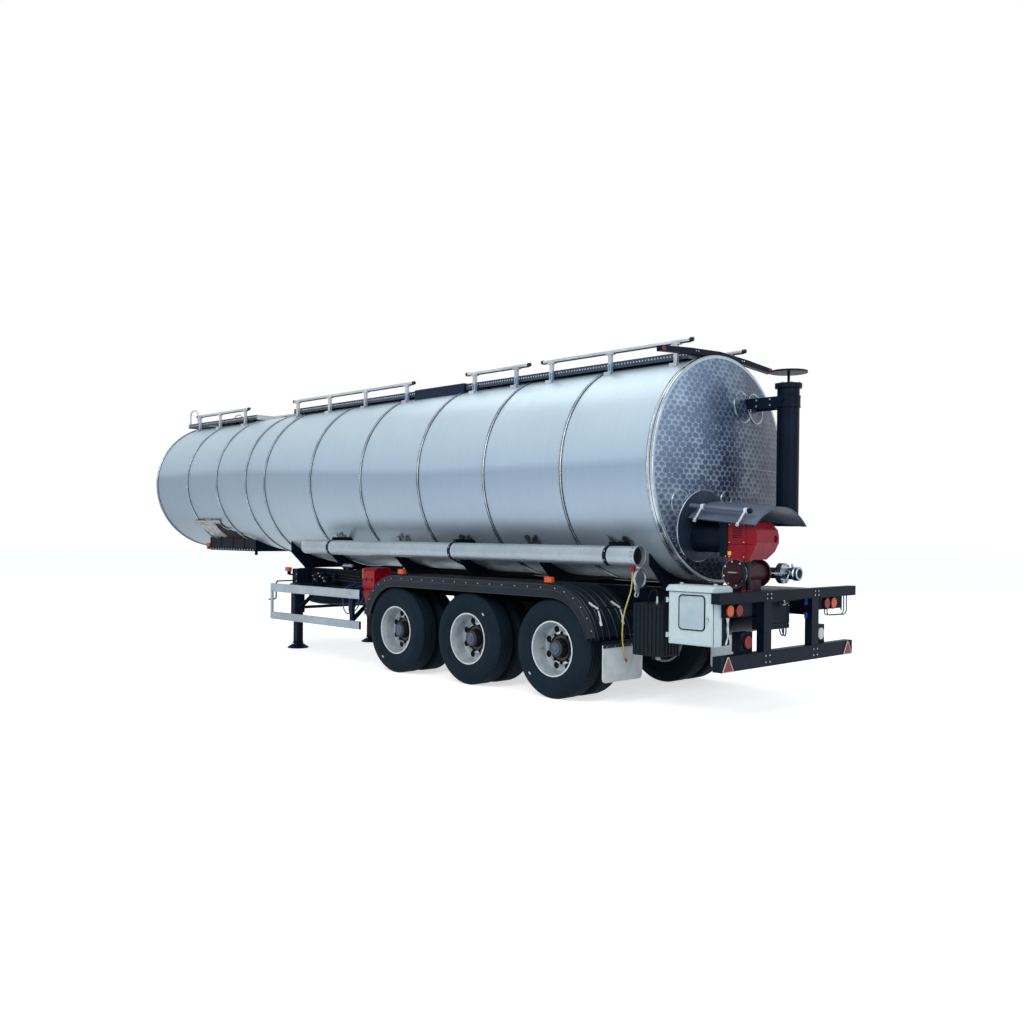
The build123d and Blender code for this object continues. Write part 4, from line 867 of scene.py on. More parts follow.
class Bench:
    """The moves by which each new piece is modelled."""

    @staticmethod
    def only(obj: Piece) -> None:
        """Select one object and nothing else."""
        bpy.ops.object.select_all(action="DESELECT")
        obj.select_set(True)
        bpy.context.view_layer.objects.active = obj

    @staticmethod
    def edit(obj: Piece, mode: str = "VERT") -> None:
        """Open an object's mesh for editing with nothing selected."""
        Bench.only(obj)
        bpy.ops.object.mode_set(mode="EDIT")
        bpy.ops.mesh.select_mode(type=mode)
        bpy.ops.mesh.select_all(action="DESELECT")

    @staticmethod
    def done() -> None:
        """Close the open mesh."""
        bpy.ops.object.mode_set(mode="OBJECT")

    @staticmethod
    def pick(obj: Piece, test: Callable[[Vector, Vector], bool]) -> None:
        """Select the faces whose centre and normal pass a test, and stay in edit mode.

        Args:
            obj: the object, open for editing or not.
            test: takes a face's centre and normal.
        """
        if bpy.context.mode == "EDIT_MESH":
            bpy.ops.object.mode_set(mode="OBJECT")
        Bench.edit(obj, "FACE")
        bpy.ops.object.mode_set(mode="OBJECT")
        for face in obj.data.polygons:
            face.select = test(face.center, face.normal)
        bpy.ops.object.mode_set(mode="EDIT")

    @staticmethod
    def name(obj: Piece, name: str) -> Piece:
        """Name an object and its mesh."""
        obj.name = name
        obj.data.name = name
        return obj

    @staticmethod
    def settle(obj: Piece) -> Piece:
        """Put an object's place into its mesh."""
        Bench.only(obj)
        bpy.ops.object.transform_apply(location=True, rotation=True, scale=True)
        return obj

    @staticmethod
    def block(
        name: str, low: Sequence[float], high: Sequence[float], bevel: float = 0.004, steps: int = 2,
    ) -> Piece:
        """A box between two corners with rounded edges.

        Args:
            name: the piece's name.
            low: its lowest corner.
            high: its highest corner.
            bevel: the edges' radius.
            steps: facets across each rounded edge.

        Returns:
            The new object.
        """
        bpy.ops.object.select_all(action="DESELECT")
        centre = [(a + b) / 2.0 for a, b in zip(low, high)]
        bpy.ops.mesh.primitive_cube_add(size=1.0, location=centre)
        obj = Bench.name(bpy.context.active_object, name)
        obj.scale = [abs(b - a) for a, b in zip(low, high)]
        Bench.settle(obj)
        if bevel > 0.0:
            Bench.edit(obj, "EDGE")
            bpy.ops.mesh.select_all(action="SELECT")
            bpy.ops.mesh.bevel(offset=bevel, segments=steps, affect="EDGES")
            Bench.done()
        return obj

    @staticmethod
    def turned(name: str, profile: Profile, origin: Vector, axis: str, steps: int = 48) -> Piece:
        """A shape spun about an axis from an outline.

        Args:
            name: the piece's name.
            profile: points as (along the axis, radius).
            origin: a point on the axis from which the outline is measured.
            axis: "X", "Y" or "Z".
            steps: facets round the axis.

        Returns:
            The new object.
        """
        along = {"X": FORWARD, "Y": LEFT, "Z": UP}[axis]
        out = FORWARD if axis == "Z" else UP
        points = [origin + along * a + out * r for a, r in profile]
        bpy.ops.object.select_all(action="DESELECT")
        bpy.ops.mesh.primitive_plane_add(size=0.01, location=points[0])
        obj = Bench.name(bpy.context.active_object, name)
        Bench.settle(obj)
        Bench.edit(obj)
        bpy.ops.mesh.select_all(action="SELECT")
        bpy.ops.mesh.merge(type="CENTER")
        for before, after in zip(points, points[1:]):
            bpy.ops.mesh.extrude_region_move(TRANSFORM_OT_translate={"value": after - before})
        bpy.ops.mesh.select_all(action="SELECT")
        bpy.ops.mesh.spin(steps=steps, angle=2.0 * math.pi, center=origin, axis=along)
        bpy.ops.mesh.select_all(action="SELECT")
        bpy.ops.mesh.remove_doubles(threshold=0.00005)
        bpy.ops.mesh.normals_make_consistent(inside=False)
        Bench.done()
        return obj

    @staticmethod
    def curve(
        name: str, points: Sequence[Point | Vector], radius: float, smooth: bool = True, closed: bool = False,
    ) -> Piece:
        """A round line along points, still a curve.

        Args:
            name: the line's name.
            points: where it runs.
            radius: its radius.
            smooth: whether it runs in smooth curves.
            closed: whether its ends meet.

        Returns:
            The new object.
        """
        curve = bpy.data.curves.new(name, "CURVE")
        curve.dimensions = "3D"
        spline = curve.splines.new("NURBS" if smooth else "POLY")
        spline.points.add(len(points) - 1)
        for spot, point in zip(spline.points, points):
            spot.co = (*point, 1.0)
        if smooth:
            spline.order_u = 3
            spline.use_endpoint_u = not closed
        spline.use_cyclic_u = closed
        curve.bevel_depth = radius
        curve.use_fill_caps = True
        obj = bpy.data.objects.new(name, curve)
        bpy.context.scene.collection.objects.link(obj)
        return obj

    @staticmethod
    def rod(
        name: str, points: Sequence[Point | Vector], radius: float, sides: int = 8, smooth: bool = False,
        closed: bool = False,
    ) -> Piece:
        """A round rod or wire along points, made a mesh.

        Args:
            name: the piece's name.
            points: where it runs.
            radius: its radius.
            sides: facets round it.
            smooth: whether it runs in smooth curves.
            closed: whether its ends meet.

        Returns:
            The new object.
        """
        bpy.ops.object.select_all(action="DESELECT")
        obj = Bench.curve(name, points, radius, smooth, closed)
        obj.data.splines[0].resolution_u = 6
        obj.data.bevel_resolution = max(0, sides // 4 - 1)
        Bench.only(obj)
        bpy.ops.object.convert(target="MESH")
        return bpy.context.active_object

    @staticmethod
    def sheet(name: str, cuts: tuple[int, int], place: Callable[[float, float], Vector]) -> Piece:
        """A thin sheet, made from a grid with each point put in its place.

        Args:
            name: the sheet's name.
            cuts: the grid's cuts along and up.
            place: takes the share along and the share up, and gives the point.

        Returns:
            The new object.
        """
        bpy.ops.object.select_all(action="DESELECT")
        bpy.ops.mesh.primitive_grid_add(
            x_subdivisions=cuts[0], y_subdivisions=cuts[1], size=1.0, location=(0, 0, 0),
        )
        made = Bench.name(bpy.context.active_object, name)
        for vert in made.data.vertices:
            vert.co = place(vert.co.x + 0.5, vert.co.y + 0.5)
        Bench.only(made)
        solid = made.modifiers.new("thick", "SOLIDIFY")
        solid.thickness = 0.0015
        bpy.ops.object.modifier_apply(modifier=solid.name)
        return made

    @staticmethod
    def soften(obj: Piece, degrees: float = 35.0) -> Piece:
        """Shade an object smooth, with its sharp edges kept."""
        Bench.only(obj)
        bpy.ops.object.shade_smooth_by_angle(angle=math.radians(degrees))
        return obj

    @staticmethod
    def twins(name: str, master: Piece, places: Iterable[Matrix]) -> Piece:
        """Copies of one object at many places, joined, each with a mesh of its own.

        Args:
            name: the piece's name.
            master: the object that is copied and kept.
            places: where each copy goes.

        Returns:
            The joined object.
        """
        made = []
        for place in places:
            twin = bpy.data.objects.new(name, master.data.copy())
            twin.data.transform(place)
            if place.determinant() < 0:
                twin.data.flip_normals()
            bpy.context.scene.collection.objects.link(twin)
            made.append(twin)
        return Bench.join(name, made)

    @staticmethod
    def copies(name: str, master: Piece, places: Iterable[Matrix]) -> Piece:
        """Copies of one object at many places, joined, with the first one removed."""
        joined = Bench.twins(name, master, places)
        bpy.data.objects.remove(master)
        return joined

    @staticmethod
    def join(name: str, objects: Sequence[Piece]) -> Piece:
        """Join several objects into one."""
        bpy.ops.object.select_all(action="DESELECT")
        for obj in objects:
            obj.select_set(True)
        bpy.context.view_layer.objects.active = objects[0]
        if len(objects) > 1:
            bpy.ops.object.join()
        return Bench.name(bpy.context.active_object, name)

    @staticmethod
    def bolt(radius: float, height: float, sides: int = 6) -> Piece:
        """A bolt head with a washer, standing on the origin along +Z."""
        bpy.ops.object.select_all(action="DESELECT")
        bpy.ops.mesh.primitive_cylinder_add(
            vertices=sides, radius=radius, depth=height, location=(0, 0, height / 2.0),
        )
        obj = Bench.name(bpy.context.active_object, "bolt")
        Bench.settle(obj)
        Bench.pick(obj, lambda centre, normal: normal.z > 0.9)
        bpy.ops.mesh.inset(thickness=radius * 0.18, depth=radius * 0.12)
        Bench.pick(obj, lambda centre, normal: normal.z < -0.9)
        bpy.ops.mesh.inset(thickness=-radius * 0.25, depth=0.0)
        Bench.done()
        return obj


@dataclass
class Assembly:
    """One sub-assembly: builds its pieces, dresses them and sets them on a body."""

    datum: Datum
    paints: Paintbox
    pieces: list[Piece] = field(default_factory=list)

    def fit(self, obj: Piece, coat: Coat | None, body: str = TRAILER, slot: str | None = None) -> Piece:
        """Dress a finished piece and set it on its body.

        Args:
            obj: the piece.
            coat: its finish, or None where it has one already.
            body: the body that it rides on.
            slot: the record's material slot, where it has one; not used.

        Returns:
            The piece.
        """
        if coat is not None:
            self.paints.dress(obj, coat)
        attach(obj, body)
        self.pieces.append(obj)
        LOG.info("%s on %s: %d faces", obj.name, body, len(obj.data.polygons))
        return obj

    def smooth(self, obj: Piece, coat: Coat, body: str = TRAILER) -> Piece:
        """Shade a piece smooth and fit it."""
        return self.fit(Bench.soften(obj), coat, body)

    def merge(
        self, name: str, parts: Sequence[Piece], coat: Coat, body: str = TRAILER, degrees: float = 35.0,
    ) -> Piece:
        """Join parts into one piece, shade it smooth and fit it."""
        return self.fit(Bench.soften(Bench.join(name, parts), degrees), coat, body)

    def bolts(
        self, name: str, head: tuple, places: Iterable[Matrix], coat: Coat = Coat.ZINC, body: str = TRAILER,
    ) -> Piece:
        """Fit one piece of bolt heads.

        Args:
            name: the piece's name.
            head: one head's radius and height, and its sides where they aren't six.
            places: where each head stands.
            coat: their finish.
            body: the body that they ride on.

        Returns:
            The piece.
        """
        return self.fit(Bench.copies(name, Bench.bolt(*head), places), coat, body)

    def at(self, station: float, y: float, z: float) -> Vector:
        """Frame point of a station, a side distance and a height."""
        return self.datum.at(station, y, z)

    def run(self, *spots: Point) -> list[Vector]:
        """Frame points of several stations, side distances and heights."""
        return [self.datum.at(*spot) for spot in spots]

    def place(self, station: float, y: float, z: float, way: Vector) -> Matrix:
        """Matrix that stands a piece made along +Z at a frame point, facing a way."""
        return facing(self.datum.at(station, y, z), way)

    def rod(self, name: str, spots: Sequence[Point], *size: float, **kind: bool) -> Piece:
        """A rod along points given by station, side distance and height."""
        return Bench.rod(name, self.run(*spots), *size, **kind)

    def turned(self, name: str, profile: Profile, origin: Point, axis: str, steps: int) -> Piece:
        """A spun shape whose origin is given by station, side distance and height."""
        return Bench.turned(name, profile, self.datum.at(*origin), axis, steps)

    def block(self, name: str, low: Point, high: Point, bevel: float = 0.004, steps: int = 2) -> Piece:
        """A box with rounded edges between two corners given by station, side distance and height."""
        return Bench.block(name, self.datum.at(*low), self.datum.at(*high), bevel, steps)


# Solids carried over from the frame

NODE_COATS: dict[str, Coat] = {
    "tank_shell": Coat.CLADDING, "rear_head": Coat.SWIRL, "front_head": Coat.CLADDING,
    "tank_bands": Coat.POLISHED, "walkway": Coat.DECK, "handrails": Coat.RAIL, "spill_box": Coat.BLUE,
    "manhole_neck": Coat.POLISHED, "manhole_lid": Coat.POLISHED, "front_ladder": Coat.RAIL,
    "hose_tube": Coat.TUBE, "hose_tube_lid": Coat.POLISHED, "tube_straps": Coat.CHASSIS,
    "chassis_frame": Coat.CHASSIS, "axles": Coat.CHASSIS, "spring_hangers": Coat.CHASSIS,
    "mudguard": Coat.PLASTIC, "mudflaps": Coat.FLAP, "side_guard": Coat.GUARD, "landing_gear": Coat.CHASSIS,
    "coupler_frame": Coat.CHASSIS, "fairings": Coat.FOIL, "rear_frame": Coat.CHASSIS,
    "lamps_red": Coat.LENS_RED, "lamps_amber": Coat.LENS_AMBER, "lamp_white": Coat.LENS_WHITE,
    "cabinet": Coat.CABINET, "ribbed_tank": Coat.RIBBED, "blast_tube": Coat.CHASSIS, "burner": Coat.BURNER,
    "hood": Coat.HOOD, "chimney": Coat.CHASSIS, "strainer": Coat.OXIDE, "outlet_pipe": Coat.POLISHED,
    "extinguisher_box": Coat.SIGNAL, "spare_wheel": Coat.RUBBER, "spare_rim": Coat.RIM, "tyres": Coat.RUBBER,
    "rims": Coat.RIM, "lamp_bar": Coat.CHASSIS, "earth_cord": Coat.CORD, "burner_hoses": Coat.HOSE,
    "cord_fittings": Coat.SIGNAL,
}


def coat_solids(paints: Paintbox, nodes: dict[str, Piece]) -> None:
    """Give each carried-over solid its finish, by the longest name that fits.

    Args:
        paints: where the materials come from.
        nodes: the frame's nodes by name.
    """
    for name, obj in nodes.items():
        fits = [key for key in NODE_COATS if name.startswith(key)]
        paints.dress(obj, NODE_COATS[max(fits, key=len)] if fits else Coat.CHASSIS)


# The tank's outline, as the solids have it


@dataclass(frozen=True)
class TankShape:
    """Stations and sections of the tank shell and its rear end."""

    datum: Datum
    rear: float = -1.240
    cone_rear: float = 5.300
    cone_front: float = 7.100
    body: Point = (1.150, 1.151, 2.383)
    neck: Point = (1.125, 1.040, 2.475)
    dish: float = 0.120
    step: float = 0.018
    band_rise: float = 0.008
    bands: tuple[float, ...] = (-0.045, 1.133, 2.290, 3.455, 4.610, 5.812, 6.360, 7.258, 8.208, 9.290)
    band_width: float = 0.034
    rim_width: float = 0.082

    def section(self, station: float) -> Point:
        """Half width, half height and centre height at a station."""
        share = min(1.0, max(0.0, (station - self.cone_rear) / (self.cone_front - self.cone_rear)))
        wide, high, mid = (a + (b - a) * share for a, b in zip(self.body, self.neck))
        return wide, high, mid

    def ring(self, station: float, grow: float, count: int = 120) -> list[Vector]:
        """Points round the shell at a station.

        Args:
            station: where the ring stands.
            grow: how far it stands off the shell.
            count: how many points.

        Returns:
            The points, in the frame.
        """
        wide, high, mid = self.section(station)
        spots = []
        for index in range(count):
            angle = 2.0 * math.pi * index / count
            across = (wide + grow) * math.cos(angle)
            spots.append(self.datum.at(station, across, mid + (high + grow) * math.sin(angle)))
        return spots

    def end_at(self, y: float, z: float, off: float = 0.0) -> Vector:
        """Point on the dished rear end, moved rearwards by off."""
        wide = self.body[0] - self.step
        high = self.body[1] - self.step
        curve = (wide * wide + self.dish * self.dish) / (2.0 * self.dish)
        reach = y * y + ((z - self.body[2]) * wide / high) ** 2
        bulge = max(0.0, self.dish - curve + math.sqrt(max(0.0, curve * curve - reach)))
        return self.datum.at(self.rear - bulge - off, y, z)

    def side_at(self, station: float, z: float, side: float = 1.0, off: float = 0.0) -> Vector:
        """Point on the shell's flank at a height."""
        wide, high, mid = self.section(station)
        share = max(0.0, 1.0 - ((z - mid) / high) ** 2)
        return self.datum.at(station, side * (wide * math.sqrt(share) + off), z)

    def top_at(self, station: float, y: float) -> float:
        """Height of the shell's top at a side distance."""
        wide, high, mid = self.section(station)
        return mid + high * math.sqrt(max(0.0, 1.0 - (y / wide) ** 2))


def facing(place: Vector, way: Vector) -> Matrix:
    """Matrix that stands a piece made along +Z at a place, facing a way."""
    return Matrix.Translation(place) @ way.to_track_quat("Z", "Y").to_matrix().to_4x4()


def bolt_circle(centre: Vector, way: Vector, radius: float, count: int, turn: float = 0.0) -> list[Matrix]:
    """Places of bolts round a circle.

    Args:
        centre: the circle's centre.
        way: the direction that the bolts face.
        radius: the circle's radius.
        count: how many bolts.
        turn: angle of the first bolt.

    Returns:
        One matrix for each bolt.
    """
    base = facing(centre, way)
    places = []
    for index in range(count):
        angle = turn + 2.0 * math.pi * index / count
        places.append(base @ Matrix.Translation((radius * math.cos(angle), radius * math.sin(angle), 0.0)))
    return places


# Tank trim


@dataclass
class TankTrim(Assembly):
    """Beads of the cladding bands, the rear rim and the trims of the polished end."""

    shape: TankShape | None = None
    bead: float = 0.0075
    seal: float = 0.0035
    seam_height: float = 2.400
    left_disc: Point = (0.790, 2.028, 0.112)
    top_disc: Point = (0.408, 1.960, 0.186)
    right_disc: Point = (0.100, 2.070, 0.086)
    flange: Point = (0.455, 1.800, 0.352)
    rosettes: tuple[Point, ...] = ((-0.235, 3.040, 0.158), (-0.505, 3.045, 0.158))

    def hoop(self, name: str, station: float, grow: float, radius: float, sides: int = 4) -> Piece:
        """A closed rod round the shell at a station."""
        return Bench.rod(name, self.shape.ring(station, grow), radius, sides, closed=True)

    def beads(self) -> None:
        """Roll a bright bead along each band and lay dark seals at its edges."""
        rear, rise, width = self.shape.rear, self.shape.band_rise, self.shape.band_width
        rim = rear + self.shape.rim_width
        bright, dark = [], []
        for station in self.shape.bands:
            middle = station + width / 2.0
            for shift in (-0.0095, 0.0095):
                bright.append(self.hoop("bead", middle + shift, rise + 0.001, self.bead, 8))
            dark.append(self.hoop("seal", middle, rise + 0.004, 0.003))
            for edge in (station - 0.003, station + width + 0.003):
                dark.append(self.hoop("seal", edge, 0.001, self.seal))
        for edge in (rear + 0.008, rim - 0.010):
            bright.append(self.hoop("bead", edge, rise, self.bead * 1.1, 8))
        dark.append(self.hoop("seal", rear + 0.040, rise, 0.004))
        dark.append(self.hoop("seal", rim + 0.004, 0.001, 0.004))
        self.merge("band_beads", bright, Coat.BEAD)
        self.fit(Bench.join("band_seals", dark), Coat.DARK)

    def end_ring(self, name: str, spot: Point, radius: float, off: float = 0.002, count: int = 56) -> Piece:
        """A thin rolled ring lying on the dished end."""
        y, z, reach = spot
        points = []
        for index in range(count):
            angle = 2.0 * math.pi * index / count
            points.append(self.shape.end_at(y + reach * math.cos(angle), z + reach * math.sin(angle), off))
        return Bench.rod(name, points, radius * 1.35, 8, closed=True)

    def end_disc(self, name: str, spot: Point, thick: float = 0.004, rise: float = 0.002) -> Piece:
        """A thin round plate lying on the dished end.

        Args:
            name: the plate's name.
            spot: its centre's Y and Z, and its radius.
            thick: its thickness.
            rise: how far it stands off the end.

        Returns:
            The plate.
        """
        y, z, reach = spot
        centre = self.shape.end_at(y, z, rise)
        near = self.shape.end_at(y + 0.01, z, rise) - self.shape.end_at(y - 0.01, z, rise)
        over = self.shape.end_at(y, z + 0.01, rise) - self.shape.end_at(y, z - 0.01, rise)
        way = over.cross(near).normalized()
        if way.x > 0.0:
            way = -way
        bpy.ops.object.select_all(action="DESELECT")
        bpy.ops.mesh.primitive_cylinder_add(vertices=56, radius=reach, depth=thick, location=(0, 0, 0))
        plate = Bench.name(bpy.context.active_object, name)
        Bench.pick(plate, lambda middle, normal: normal.z > 0.9)
        bpy.ops.mesh.inset(thickness=reach * 0.06, depth=-thick * 0.4)
        Bench.done()
        plate.data.transform(facing(centre, way))
        return plate

    def end_trims(self) -> None:
        """Trim the openings of the polished end with plates and rolled rings."""
        discs = [self.end_disc("disc", spot) for spot in (self.left_disc, self.right_disc, self.top_disc)]
        self.merge("end_plates", discs, Coat.SWIRL)
        # A dark plate of painted shade fills the burner's ring, where the burner and blast tube cast shadow.
        dark = self.end_disc("flange_shade_plate", self.flange, 0.006, 0.004)
        self.smooth(dark, Coat.SHADE)
        rings = [
            self.end_ring("ring", spot, 0.0045) for spot in (self.left_disc, self.right_disc, self.top_disc)
        ]
        rings.append(self.end_ring("ring", self.flange, 0.0055, 0.006))
        rings += [self.end_ring("ring", spot, 0.006, 0.004) for spot in self.rosettes]
        self.merge("end_rings", rings, Coat.BEAD)
        plates = [self.end_disc("rosette", (y, z, reach - 0.006), 0.005) for y, z, reach in self.rosettes]
        self.merge("arm_rosettes", plates, Coat.SWIRL)

    def seams(self, reach: float = 1.12, count: int = 40) -> None:
        """Lay the lap seam across the polished end."""
        across = [-reach + 2.0 * reach * index / count for index in range(count + 1)]
        points = [self.shape.end_at(y, self.seam_height, 0.001) for y in across]
        self.fit(Bench.rod("end_seam", points, 0.0022, 4), Coat.BEAD)

    def rivets(self) -> None:
        """Set rivets beside the rear rim, all round the end."""
        places = []
        for index in range(72):
            angle = 2.0 * math.pi * index / 72
            y = 1.105 * math.cos(angle)
            z = self.shape.body[2] + 1.106 * math.sin(angle)
            places.append(facing(self.shape.end_at(y, z, 0.0005), REARWARD))
        rivets = Bench.copies("end_rivets", Bench.bolt(0.005, 0.003, 8), places)
        self.fit(rivets, Coat.ZINC)

    def build(self) -> None:
        """Build all the tank's trim."""
        self.beads()
        self.end_trims()
        self.seams()
        self.rivets()


# Wheels


@dataclass
class Wheels(Assembly):
    """Grooved tyres, wheel nuts, hub caps and valves of the six twin wheels."""

    radius: float = 0.518
    outer_y: float = 1.104
    pitch: float = 0.334
    axle_pitch: float = 1.310
    face_y: float = 1.061
    nut_circle: float = 0.157
    nuts: int = 10
    cap_y: float = 1.167
    hole_shades: int = 8
    hole_circle: float = 0.205
    tags: tuple[Point, ...] = ((0.243, 0.0, 0.288), (1.069, 0.0, 0.767), (2.809, 0.0, 0.228))
    groove: float = 0.013
    grooves: tuple[float, ...] = (-0.066, -0.024, 0.024, 0.066)
    nut_ring: Profile = ((0.0, 0.140), (0.004, 0.143), (0.004, 0.170), (0.0005, 0.173))
    hub_lip: Profile = ((0.018, 0.1425), (0.024, 0.146), (0.030, 0.146), (0.034, 0.138), (0.020, 0.136))
    hub_cap: Profile = (
        (0.0, 0.064), (0.006, 0.062), (0.007, 0.048), (0.002, 0.046), (0.002, 0.028), (0.008, 0.026),
        (0.009, 0.0001),
    )
    # Outline of a dark disc of painted shade in a hand hole.
    hole_shade: Profile = ((0.0005, 0.036), (0.0022, 0.033), (0.0012, 0.030), (0.0010, 0.0001))
    rim_flange: Profile = (
        (-0.004, 0.2755), (0.0005, 0.279), (0.002, 0.2845), (0.0005, 0.290), (-0.0015, 0.2925), (-0.006, 0.293),
        (-0.004, 0.286), (-0.004, 0.2755),
    )

    def outline(self) -> list[tuple[float, float]]:
        """The tyre's outline as (sideways, radius) from one bead over the tread to the other."""
        wall = [
            (0.116, 0.286), (0.116, 0.304), (0.1195, 0.310), (0.1225, 0.322), (0.1270, 0.330), (0.1262, 0.342),
            (0.1305, 0.360), (0.1342, 0.378), (0.1362, 0.383), (0.1380, 0.403), (0.1366, 0.422),
            (0.1330, 0.438), (0.1318, 0.442), (0.1278, 0.458), (0.1235, 0.472), (0.1190, 0.478),
            (0.1186, 0.490), (0.1160, 0.496), (0.1040, 0.508), (0.0900, 0.518),
        ]
        tread = []
        for place in self.grooves:
            tread += [
                (place - 0.0062, self.radius), (place - 0.0040, self.radius - self.groove),
                (place + 0.0040, self.radius - self.groove), (place + 0.0062, self.radius),
            ]
        left = [(-side, reach) for side, reach in wall]
        right = list(reversed(wall))
        points = left + tread + right
        return points + [points[0]]

    def tyre_master(self) -> Piece:
        """Spin one grooved tyre about the origin."""
        tyre = Bench.turned("tyre", self.outline(), ORIGIN, "Y", 96)
        return Bench.soften(tyre, 32.0)

    def nut_master(self) -> Piece:
        """One wheel nut with its stud, standing along +Z."""
        nut = Bench.bolt(0.0145, 0.017)
        stud = Bench.turned(
            "stud", [(0.015, 0.0001), (0.030, 0.0001), (0.030, 0.006), (0.028, 0.008), (0.015, 0.008)], ORIGIN,
            "Z", 10,
        )
        return Bench.join("wheel_nut", [nut, stud])

    def spun(self, name: str, profile: Profile, base: float, hub: Vector, way: float, steps: int) -> Piece:
        """A shape spun about a wheel's axle.

        Args:
            name: the shape's name.
            profile: its outline as (outwards of the base, radius).
            base: the side distance from which the outline is measured.
            hub: a point on its axis, in the middle of the trailer.
            way: 1 for the left side, -1 for the right.
            steps: facets round the axis.

        Returns:
            The new object.
        """
        return Bench.turned(name, [(way * (base + a), r) for a, r in profile], hub, "Y", steps)

    def wheel(self, way: float, side: str, index: int, tyre: Piece, nut: Piece) -> None:
        """Dress one twin wheel.

        Args:
            way: 1 for the left side, -1 for the right.
            side: left or right.
            index: axle number, from the rear.
            tyre: the master tyre.
            nut: the master nut.
        """
        mark = f"{side}_{index}"
        body = f"wheel_{mark}"
        hub = self.at(self.axle_pitch * (index - 1), 0.0, self.radius)
        pair = [Matrix.Translation(hub + sideways(way * y)) for y in (self.outer_y, self.outer_y - self.pitch)]
        treads = self.fit(Bench.twins(f"tyres_{mark}_grooved", tyre, pair), Coat.RUBBER, body, "tyre")
        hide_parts(f"tyres_{mark}")
        out = sideways(way)
        nuts = bolt_circle(hub + out * self.face_y, out, self.nut_circle, self.nuts, 0.31 * index)
        self.fit(Bench.twins(f"wheel_nuts_{mark}", nut, nuts), Coat.DARK, body)
        for name, profile, base, steps, coat in (
            ("nut_ring", self.nut_ring, self.face_y, 48, Coat.RIMEDGE),
            ("hub_lip", self.hub_lip, self.face_y, 40, Coat.CHASSIS),
            ("hub_cap", self.hub_cap, self.cap_y, 32, Coat.HUBCAP),
            ("rim_flange", self.rim_flange, self.outer_y + 0.116, 64, Coat.RIMEDGE),
        ):
            self.smooth(self.spun(f"{name}_{mark}", profile, base, hub, way, steps), coat, body)
        # Dark discs of painted shade stand in the wheel's hand holes.
        holes = []
        for hole in range(self.hole_shades):
            angle = 2.0 * math.pi * (hole + 0.5) / self.hole_shades
            spot = hub + Vector((self.hole_circle * math.cos(angle), 0.0, self.hole_circle * math.sin(angle)))
            holes.append(self.spun("hole", self.hole_shade, self.face_y, spot, way, 24))
        self.merge(f"hole_shades_{mark}", holes, Coat.DARK, body)
        self.tag(mark, index, hub, way, body)
        angle = -0.9 + 0.8 * index
        foot = hub + Vector((0.235 * math.cos(angle), way * (self.face_y + 0.012), 0.235 * math.sin(angle)))
        tip = foot + Vector((0.02 * math.cos(angle), way * 0.06, 0.02 * math.sin(angle)))
        self.fit(Bench.rod(f"valve_{mark}", [foot, foot.lerp(tip, 0.5), tip], 0.0042, 8), Coat.ZINC, body)

    def tag(self, mark: str, index: int, hub: Vector, way: float, body: str) -> None:
        """Set the small pale blank patch on a tyre's side wall."""
        station, _, height = self.tags[index - 1]
        reach = Vector((station - self.axle_pitch * (index - 1), 0.0, height - self.radius))
        reach = reach.normalized() * 0.405
        spot = hub + reach + Vector((0.0, way * (self.outer_y + 0.1381), 0.0))
        profile = [(0.0, 0.0001), (0.001, 0.009), (0.0005, 0.012), (-0.0015, 0.0125)]
        patch = Bench.turned(f"tyre_patch_{mark}", profile, ORIGIN, "Z", 16)
        turn = Matrix.Rotation(math.atan2(reach.z, reach.x) * -way, 4, "Z")
        patch.data.transform(facing(spot, sideways(way)) @ turn @ Matrix.Diagonal((0.7, 1.7, 1.0, 1.0)))
        self.smooth(patch, Coat.WHITE, body)

    def build(self) -> None:
        """Dress the six twin wheels."""
        tyre = self.tyre_master()
        nut = self.nut_master()
        for way, side in SIDES:
            for index in (1, 2, 3):
                self.wheel(way, side, index, tyre, nut)
        bpy.data.objects.remove(tyre)
        bpy.data.objects.remove(nut)


# Mudguards, flaps and side marks


